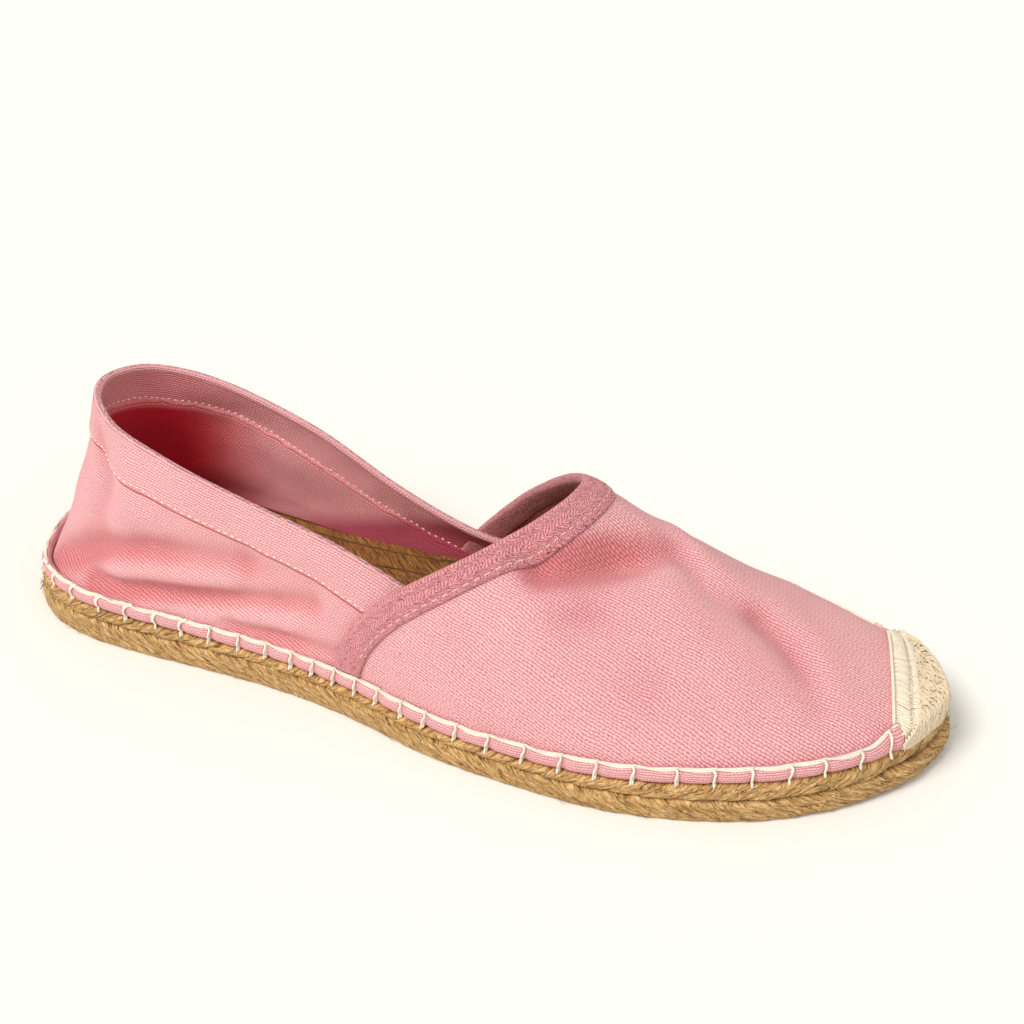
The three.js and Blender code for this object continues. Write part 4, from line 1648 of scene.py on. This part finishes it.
@dataclass
class ThroatTape:
    """The folded tape over the vamp's rear edge, with the line of stitches that holds it."""

    upper: Upper
    width: float = 7.4
    thickness: float = 0.95
    inner_reach: float = 6.5
    stitch_inset: float = 1.4
    foot: float = 0.06  # the angle over the vamp at which the tape ends
    seam_foot: float = 0.16  # and the angle at which its stitches do

    def fold(self) -> list[tuple[float, float]]:
        """Gives the tape's closed section as forward and depth pairs.

        Returns:
            The front edge, the outer leg with the dent of its stitches, the turn, then the inner leg.
        """
        out, canvas = self.thickness, self.upper.last.canvas
        seam = self.width - self.stitch_inset
        edge = [(self.width, 0.3), (self.width + 0.05, -out * 0.6), (self.width - 0.35, -out)]
        dent = [(seam - 0.5, -out - 0.05), (seam, -out + 0.2), (seam - 0.6, -out - 0.05)]
        leg = [(4.0, -out - 0.1), (2.2, -out - 0.1), (0.8, -out), (0.0, -out * 0.8)]
        turn = [(-0.5, -0.1), (-0.7, canvas / 2), (-0.5, canvas + 0.2), (0.0, canvas + out * 0.8)]
        inner = [(1.5, canvas + out), (self.inner_reach, canvas + out), (self.inner_reach, canvas + 0.1)]
        return [*edge, *dent, *leg, *turn, *inner, (4.0, canvas * 0.6)]

    def build(self) -> None:
        """Makes the tape and its stitches."""
        upper = self.upper
        cloth = Cloth(upper.last)
        section = self.fold()
        count = 220
        angles = [lerp(self.foot, math.pi - self.foot, i / count) for i in range(count + 1)]
        middle = Line([upper.band_point(a, self.width / 2) for a in angles])
        ring = Line([Vector((f, d, 0)) for f, d in [*section, section[0]]])

        def spot(column: int, row: int) -> Spot:
            """Places one vertex of the tape."""
            forward, depth = section[column % len(section)]
            point = upper.band_point(angles[row], forward, round(depth, 2))
            return Spot(point, (middle.distances[row], ring.distances[column], 1.0))

        cloth.grid(len(section), count, spot)
        made = cloth.close().piece("throat_tape_fold", TWILL, "twill_tape", "throat_tape")
        soft = made.modifiers.new("soft", "SUBSURF")
        soft.levels = soft.render_levels = 1
        self.stitches()

    def stitches(self) -> None:
        """Makes the stitches along the tape's front edge."""
        cloth = Cloth(self.upper.last)
        forward, depth = self.width - self.stitch_inset, -self.thickness + 0.05
        low, high = self.seam_foot, math.pi - self.seam_foot
        count = 64
        for i in range(count):
            start, end = lerp(low, high, (i + 0.12) / count), lerp(low, high, (i + 0.88) / count)
            path = []
            for k in range(6):
                sink = 0.25 * (2 * k / 5 - 1) ** 4
                path.append(self.upper.band_point(lerp(start, end, k / 5), forward, round(depth + sink, 2)))
            cloth.tube(path, lambda t: 0.2, 5)
        cloth.close().piece("tape_stitches", TAPE_THREAD, "cotton_thread")


@dataclass
class HemStitches:
    """The line of stitches along the heel piece's turned hem, outside and inside."""

    upper: Upper
    from_top: float = 9.9
    length: float = 1.25
    gap: float = 0.7
    radius: float = 0.22
    proud: float = 0.08
    ends: tuple[float, float] = (2.0, 4.0)
    seed: int = 5

    def build(self) -> None:
        """Makes the stitches."""
        upper = self.upper
        cloth = Cloth(upper.last)
        dice = random.Random(self.seed)
        total = upper.heel.length
        for depth in (-upper.hem_step - self.proud, upper.last.canvas + self.proud):
            start = self.ends[0]
            while start < total - self.ends[1]:
                path = []
                wander = dice.gauss(0, 0.12)
                for k in range(5):
                    share = (start + self.length * k / 4) / total
                    rise = 1 - (self.from_top + wander) / upper.wall_height(share)
                    sunk = 0.3 * (k / 2 - 1) ** 4 * (1 if depth < 0 else -1)
                    path.append(upper.heel_point(share, rise, depth + sunk))
                cloth.tube(path, lambda t: self.radius, 5)
                start += self.length + self.gap + dice.gauss(0, 0.08)
        cloth.close().piece("hem_stitches", HEM_THREAD, "cotton_thread")


# ------------------------------------------------------------------------------- the thread
@dataclass
class BlanketStitch:
    """The double thread that binds the rolled edge to the jute, one loop after another.

    start, end and knot are distances from the heel. Behind heel_from the loops lean the other way.
    """

    last: Last
    upper: Upper
    start: float
    end: float
    tie: Sequence[Vector]
    pitch: float = 8.9
    radius: float = 0.3
    lay: float = 26.0
    knot: float = 29.0
    knot_lay: float = 6.0
    heel_from: float = -60.0
    seed: int = 3

    def __post_init__(self) -> None:
        """Places the loops, closer together at the waist, with a hand sewer's unevenness."""
        dice = random.Random(self.seed)
        self.places = []
        along = self.start
        while along > self.end:
            self.places.append(along)
            x = self.last.at(along, 0).x
            waist = math.exp(-(((x + 18) / 26) ** 2))
            along -= self.pitch * (1 - 0.2 * waist) * (1 + dice.gauss(0, 0.07))

    def top(self, along: float, proud: float = 0.0, drop: float = 0.0) -> Vector:
        """Gives a point of the line where the roll meets the upper."""
        x = self.last.at(along, 0).x
        end = self.upper.roll_growth(along)
        height = self.upper.roll_height * (1 + self.upper.roll_swell * end)
        z = self.last.edge_height(x) + self.last.gap + height - 0.1
        return self.last.at(along, self.last.seam_inset - 0.45 - proud + 2.0 * end, z - drop)

    def bar(self, along: float, lean: float, bow: float, reach: float) -> list[Vector]:
        """Gives the path of a loop's bar, down over the roll and into the jute.

        Args:
            along: Where the bar starts.
            lean: How far its foot is moved along.
            bow: How far its middle is moved along.
            reach: How far down the jute it goes.

        Returns:
            The path's points.
        """
        path = []
        for i in range(9):
            t = i / 8
            here = along + lean * t + bow * math.sin(math.pi * t)
            spot = self.upper.roll_spot(here, lerp(1.0, -0.95, t), 1.0).point
            path.append(spot + self.last.outward(here) * 0.3)
        x = self.last.at(along, 0).x
        low = self.last.edge_height(x) - reach
        path.append(self.last.at(along + lean, 0.5, low + 0.45))
        path.append(self.last.at(along + lean, 1.6, low + 0.1))
        return path

    def loop(self, cloth: Cloth, dice: random.Random, here: float, span: float) -> None:
        """Adds one loop: its run along the roll's upper edge, and its bar.

        Args:
            cloth: The mesh to add to.
            dice: The hand's unevenness.
            here: The bar's distance from the heel.
            span: How far it is to the next bar.
        """
        sag, tuck = dice.uniform(-0.1, 0.45), dice.uniform(0.2, 0.5)
        run = []
        for i in range(11):
            t = i / 10
            bulge = math.sin(math.pi * t)
            run.append(self.top(here + 0.5 - (span + 0.7) * t, 0.1 + tuck * bulge, sag * bulge))
        cloth.cord(run, self.radius, self.lay * dice.uniform(0.7, 1.4))
        side = 1 if self.last.at(here, 0).x > self.heel_from else -1
        corner = dice.uniform(1.5, 2.4) * side
        lean, bow = (dice.uniform(-0.9, -0.1), -0.2) if side > 0 else (dice.uniform(0.1, 0.7), -0.6)
        bar = self.bar(here, lean, bow, dice.uniform(0.0, 0.6))
        start = [self.top(here - corner, 0.25), self.top(here - corner * 0.4, 0.4)]
        path = centripetal([*start, *bar[1::2], bar[-1]], 4)
        cloth.cord(path, self.radius, self.lay * dice.uniform(0.6, 1.2))

    def build(self) -> None:
        """Makes the thread: its loops, the knot near the heel and the end that is tied to the toe cap."""
        cloth = Cloth(self.last)
        dice = random.Random(self.seed + 1)
        for here, ahead in zip(self.places, [*self.places[1:], self.end]):
            self.loop(cloth, dice, here, here - ahead)
        for spread, rise in ((-1.6, 1.4), (0.3, 1.9), (1.5, -1.2)):
            near = self.top(self.knot - spread, 0.5, -rise)
            far = self.top(self.knot + spread * 0.8, 0.5, rise * 0.6)
            path = [near, self.top(self.knot, 0.8, -0.2), far]
            cloth.cord(centripetal(path, 4), self.radius * 0.9, self.knot_lay)
        reach = [self.top(self.start + 0.5, 0.1), self.top(self.start + 2.4, 0.2), *self.tie]
        cloth.cord(centripetal(reach, 5), self.radius, self.lay)
        cloth.close().piece("blanket_stitch", THREAD, "cotton_thread")


@dataclass
class ToeCap:
    """The thread that is wound over the tip of the toe: bands of fine ribs, then looped strands."""

    last: Last
    vamp: VampForm
    lateral: tuple[float, float] = (113.0, -12.0)
    medial: tuple[float, float] = (105.5, 22.0)
    clearance: float = 0.4
    columns: int = 72
    radius: float = 0.34
    rib_pitch: float = 0.82
    rib_lift: float = 0.34
    loop_count: int = 900
    loops_from: float = 6.6
    frayed: int = 44
    seed: int = 21

    # The way down the toe: how far inside the sole's outline, and how far above the jute.
    PROFILE = ((2.7, 4.2), (2.1, 3.0), (1.8, 1.9), (1.7, 0.7))
    # The bands of ribs: where each starts and ends below the cap's edge, and how far its ribs slant.
    BANDS = ((0.5, 5.0, 0.0), (5.2, 7.4, 0.2))

    def __post_init__(self) -> None:
        """Draws the cap's columns, from its straight edge down over the toe."""
        self.ends = [self.last.nearest(*corner)[0] for corner in (self.lateral, self.medial)]
        self.lines, self.outer = [], []
        for i in range(self.columns + 1):
            t = i / self.columns
            along = lerp(*self.ends, t)
            self.lines.append(Line(self.column(t, along, 0.5)))
            self.outer.append(Line(self.column(t, along, 1.5)))
        self.width = (self.point(0, 3) - self.point(1, 3)).length * 1.1

    def column(self, t: float, along: float, growth: float) -> list[Vector]:
        """Gives the points of one column, lifted off the form by growth.

        Args:
            t: 0 at the outer end of the cap's edge, 1 at the inner end.
            along: The distance from the heel of the column's foot.
            growth: How far off the form.

        Returns:
            The points from the edge down to the side of the sole.
        """
        inset, above = self.PROFILE[0]
        lift = self.clearance + growth
        edge = Vector((*self.lateral, 0)).lerp(Vector((*self.medial, 0)), t)
        shoulder = self.last.at(along, inset - growth)
        points = []
        for i in range(9):
            p = edge.lerp(shoulder, i / 8)
            low = self.last.edge_height(p.x) + above
            points.append(Vector((p.x, p.y, max(self.vamp.height(p.x, p.y), low) + lift)))
        for i, (inset, above) in enumerate(self.PROFILE[1:], 1):
            p = self.last.at(along, inset - growth)
            p.z = self.last.edge_height(p.x) + above + lift * (1 - i / (len(self.PROFILE) - 1))
            points.append(p)
        return points

    def point(self, t: float, distance: float, lift: float = 0.0) -> Vector:
        """Gives a point on the cap.

        Args:
            t: 0 at the outer end, 1 at the inner end.
            distance: How far down from the straight edge.
            lift: How far off the cap's own face.

        Returns:
            The point.
        """
        place = clamp(t) * self.columns
        i = min(int(place), self.columns - 1)
        part = place - i
        low = self.lines[i].at(distance).lerp(self.lines[i + 1].at(distance), part)
        high = self.outer[i].at(distance).lerp(self.outer[i + 1].at(distance), part)
        return low.lerp(high, lift)

    def length(self, t: float) -> float:
        """Gives the cap's length down one column."""
        return self.lines[round(clamp(t) * self.columns)].length

    def build(self) -> None:
        """Makes the cap's ground, its ribs and its looped strands."""
        ground = Cloth(self.last)
        rows = 40

        def spot(column: int, row: int) -> Spot:
            """Places one vertex of the ground."""
            t = column / self.columns
            distance = self.length(t) * row / rows
            return Spot(self.point(t, distance, -0.25), (distance, t * 50, 0.5))

        ground.grid(self.columns, rows, spot)
        Upper.face_out(ground, self.last.place(Vector((100, 5, 5))))
        made = ground.piece("toe_cap_ground", CAP_THREAD, "cotton_thread", "toe_cap")
        solid = made.modifiers.new("wall", "SOLIDIFY")
        solid.thickness = 0.6 * MM
        solid.offset = -1
        self.ribs()
        self.loops()

    def ribs(self) -> None:
        """Makes the flat rim and the bands of fine ribs."""
        cloth = Cloth(self.last)
        dice = random.Random(self.seed)
        cloth.tube([self.point(i / 60, 0.1, -0.1) for i in range(61)], lambda s: 0.42, 7)
        for start, end, slant in self.BANDS:
            middle = Line([self.point(i / 60, (start + end) / 2) for i in range(61)])
            count = int(middle.length / self.rib_pitch)
            for i in range(count):
                t = (i + 0.5 + dice.gauss(0, 0.08)) / count
                first = start + dice.gauss(0, 0.12)
                final = min(end + dice.gauss(0, 0.12), self.length(t) - 0.2)
                if final - first < 0.8:
                    continue
                path = []
                for k in range(8):
                    s = k / 7
                    side = slant * (s - 0.5) / middle.length
                    lift = self.rib_lift * math.sin(math.pi * s) ** 0.6
                    path.append(self.point(t + side, lerp(first, final, s), lift))
                size = self.radius * dice.uniform(0.9, 1.15)
                cloth.tube(path, lambda s, size=size: size * (0.5 + 0.5 * math.sin(math.pi * s) ** 0.4), 6)
        cloth.close().piece("toe_cap_ribs", CAP_THREAD, "cotton_thread")

    def loops(self) -> None:
        """Makes the looped strands that fan down to the outer corner, and the frayed tuft there."""
        cloth = Cloth(self.last)
        dice = random.Random(self.seed + 1)
        for _ in range(self.loop_count):
            t = dice.random() ** 1.1
            reach = self.length(t)
            start = dice.uniform(min(7.2, reach * 0.4), reach)
            length = dice.uniform(1.1, 2.5)
            lean = (dice.gauss(-0.5, 0.9) - 0.4 * (1 - t)) * length / self.width
            arch = dice.uniform(0.1, 0.45)
            path = []
            for k in range(7):
                s = k / 6
                down = min(start + length * (s - 0.3), reach + 0.2)
                lift = 0.05 + arch * math.sin(math.pi * s)
                path.append(self.point(t + lean * s, max(down, self.loops_from), lift))
            size = dice.uniform(0.2, 0.34)
            cloth.tube(path, lambda s, size=size: size * (0.7 + 0.3 * math.sin(math.pi * s)), 5)
        for _ in range(self.frayed):
            root = self.point(dice.uniform(0, 0.1), self.length(0) - dice.uniform(0.0, 1.6), 0.2)
            way = Vector((dice.gauss(0.1, 0.4), -dice.uniform(0.1, 0.6), -dice.uniform(0.3, 0.9)))
            size = dice.uniform(0.7, 1.5)
            path = [root + way * size * k / 4 - Vector((0, 0, 0.3 * (k / 4) ** 2)) for k in range(5)]
            cloth.tube(path, lambda s: 0.13, 4)
        cloth.close().piece("toe_cap_loops", LOOP_THREAD, "cotton_thread")


# ------------------------------------------------------------------------------- the studio
DAYLIGHT = (1.0, 0.985, 0.95)


@dataclass
class Studio:
    """The floor, the lights and the camera."""

    last: Last
    eye: Vector = field(default_factory=lambda: Vector((130.3, -312.8, 268.3)))
    aim: Vector = field(default_factory=lambda: Vector((-12.5, 63.8, 0.0)))
    lens: float = 56.25

    def camera(self) -> None:
        """Makes the camera."""
        data = bpy.data.cameras.new("camera")
        data.lens, data.sensor_width = self.lens, 36.0
        data.clip_start, data.clip_end = 0.01, 20.0
        made = bpy.data.objects.new("camera", data)
        made.location = self.last.place(self.eye)
        made.rotation_euler = (self.aim - self.eye).to_track_quat("-Z", "Y").to_euler()
        bpy.context.scene.collection.objects.link(made)
        bpy.context.scene.camera = made

    def floor(self) -> None:
        """Makes the floor."""
        bm = bmesh.new()
        bmesh.ops.create_grid(bm, x_segments=8, y_segments=8, size=4.0)
        mesh = bpy.data.meshes.new("floor")
        bm.to_mesh(mesh)
        bm.free()
        mesh.materials.append(FLOOR.material())
        made = bpy.data.objects.new("floor", mesh)
        bpy.context.scene.collection.objects.link(made)
        made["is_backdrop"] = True

    def sun(self, name: str, toward: Vector, softness: float, strength: float) -> None:
        """Makes a soft, even light.

        Args:
            name: Its name.
            toward: The way from the shoe to the light.
            softness: The angle that it fills, in degrees.
            strength: Its strength.
        """
        data = bpy.data.lights.new(name, "SUN")
        data.angle = math.radians(softness)
        data.energy, data.color = strength, DAYLIGHT
        made = bpy.data.objects.new(name, data)
        made.rotation_euler = (-toward).to_track_quat("-Z", "Y").to_euler()
        made.location = toward
        bpy.context.scene.collection.objects.link(made)

    def build(self) -> None:
        """Makes the studio."""
        self.camera()
        self.floor()
        world = bpy.data.worlds.new("studio")
        world.use_nodes = True
        ground = world.node_tree.nodes["Background"]
        ground.inputs["Color"].default_value = (*DAYLIGHT, 1)
        ground.inputs["Strength"].default_value = 0.55
        bpy.context.scene.world = world
        bpy.context.scene.view_settings.view_transform = "Standard"
        self.sun("key", Vector((-0.36, -0.50, 0.84)), 26.0, 2.1)
        self.sun("fill", Vector((0.55, -0.55, 0.62)), 60.0, 0.5)


def main() -> None:
    """Builds the shoe, piece by piece, and the studio round it."""
    logging.basicConfig(level=logging.INFO, format="%(name)s %(message)s")
    last = Last()
    vamp, heel = VampForm(last), HeelForm(last)
    cap = ToeCap(last, vamp)
    ends = (cap.ends[0] + 0.6, cap.ends[1] - last.perimeter - 0.6)
    upper = Upper(last, vamp, heel, cap.ends[0])
    tie = [cap.point(0, 1.2, 0.4), cap.point(0, 0.2, 0.4)]
    stitch = BlanketStitch(last, upper, cap.ends[0] - 3.0, cap.ends[1] - last.perimeter + 3.0, tie)
    JuteSole(last).build()
    upper.build_vamp()
    upper.build_heel()
    upper.build_roll(ends, stitch.places)
    ThroatTape(upper).build()
    HemStitches(upper).build()
    stitch.build()
    cap.build()
    Studio(last).build()
    boxes = {"cad": CAD_BOX, "visual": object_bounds()}
    {name: [list(corner) for corner in box] for name, box in boxes.items()}


if __name__ == "__main__":
    main()
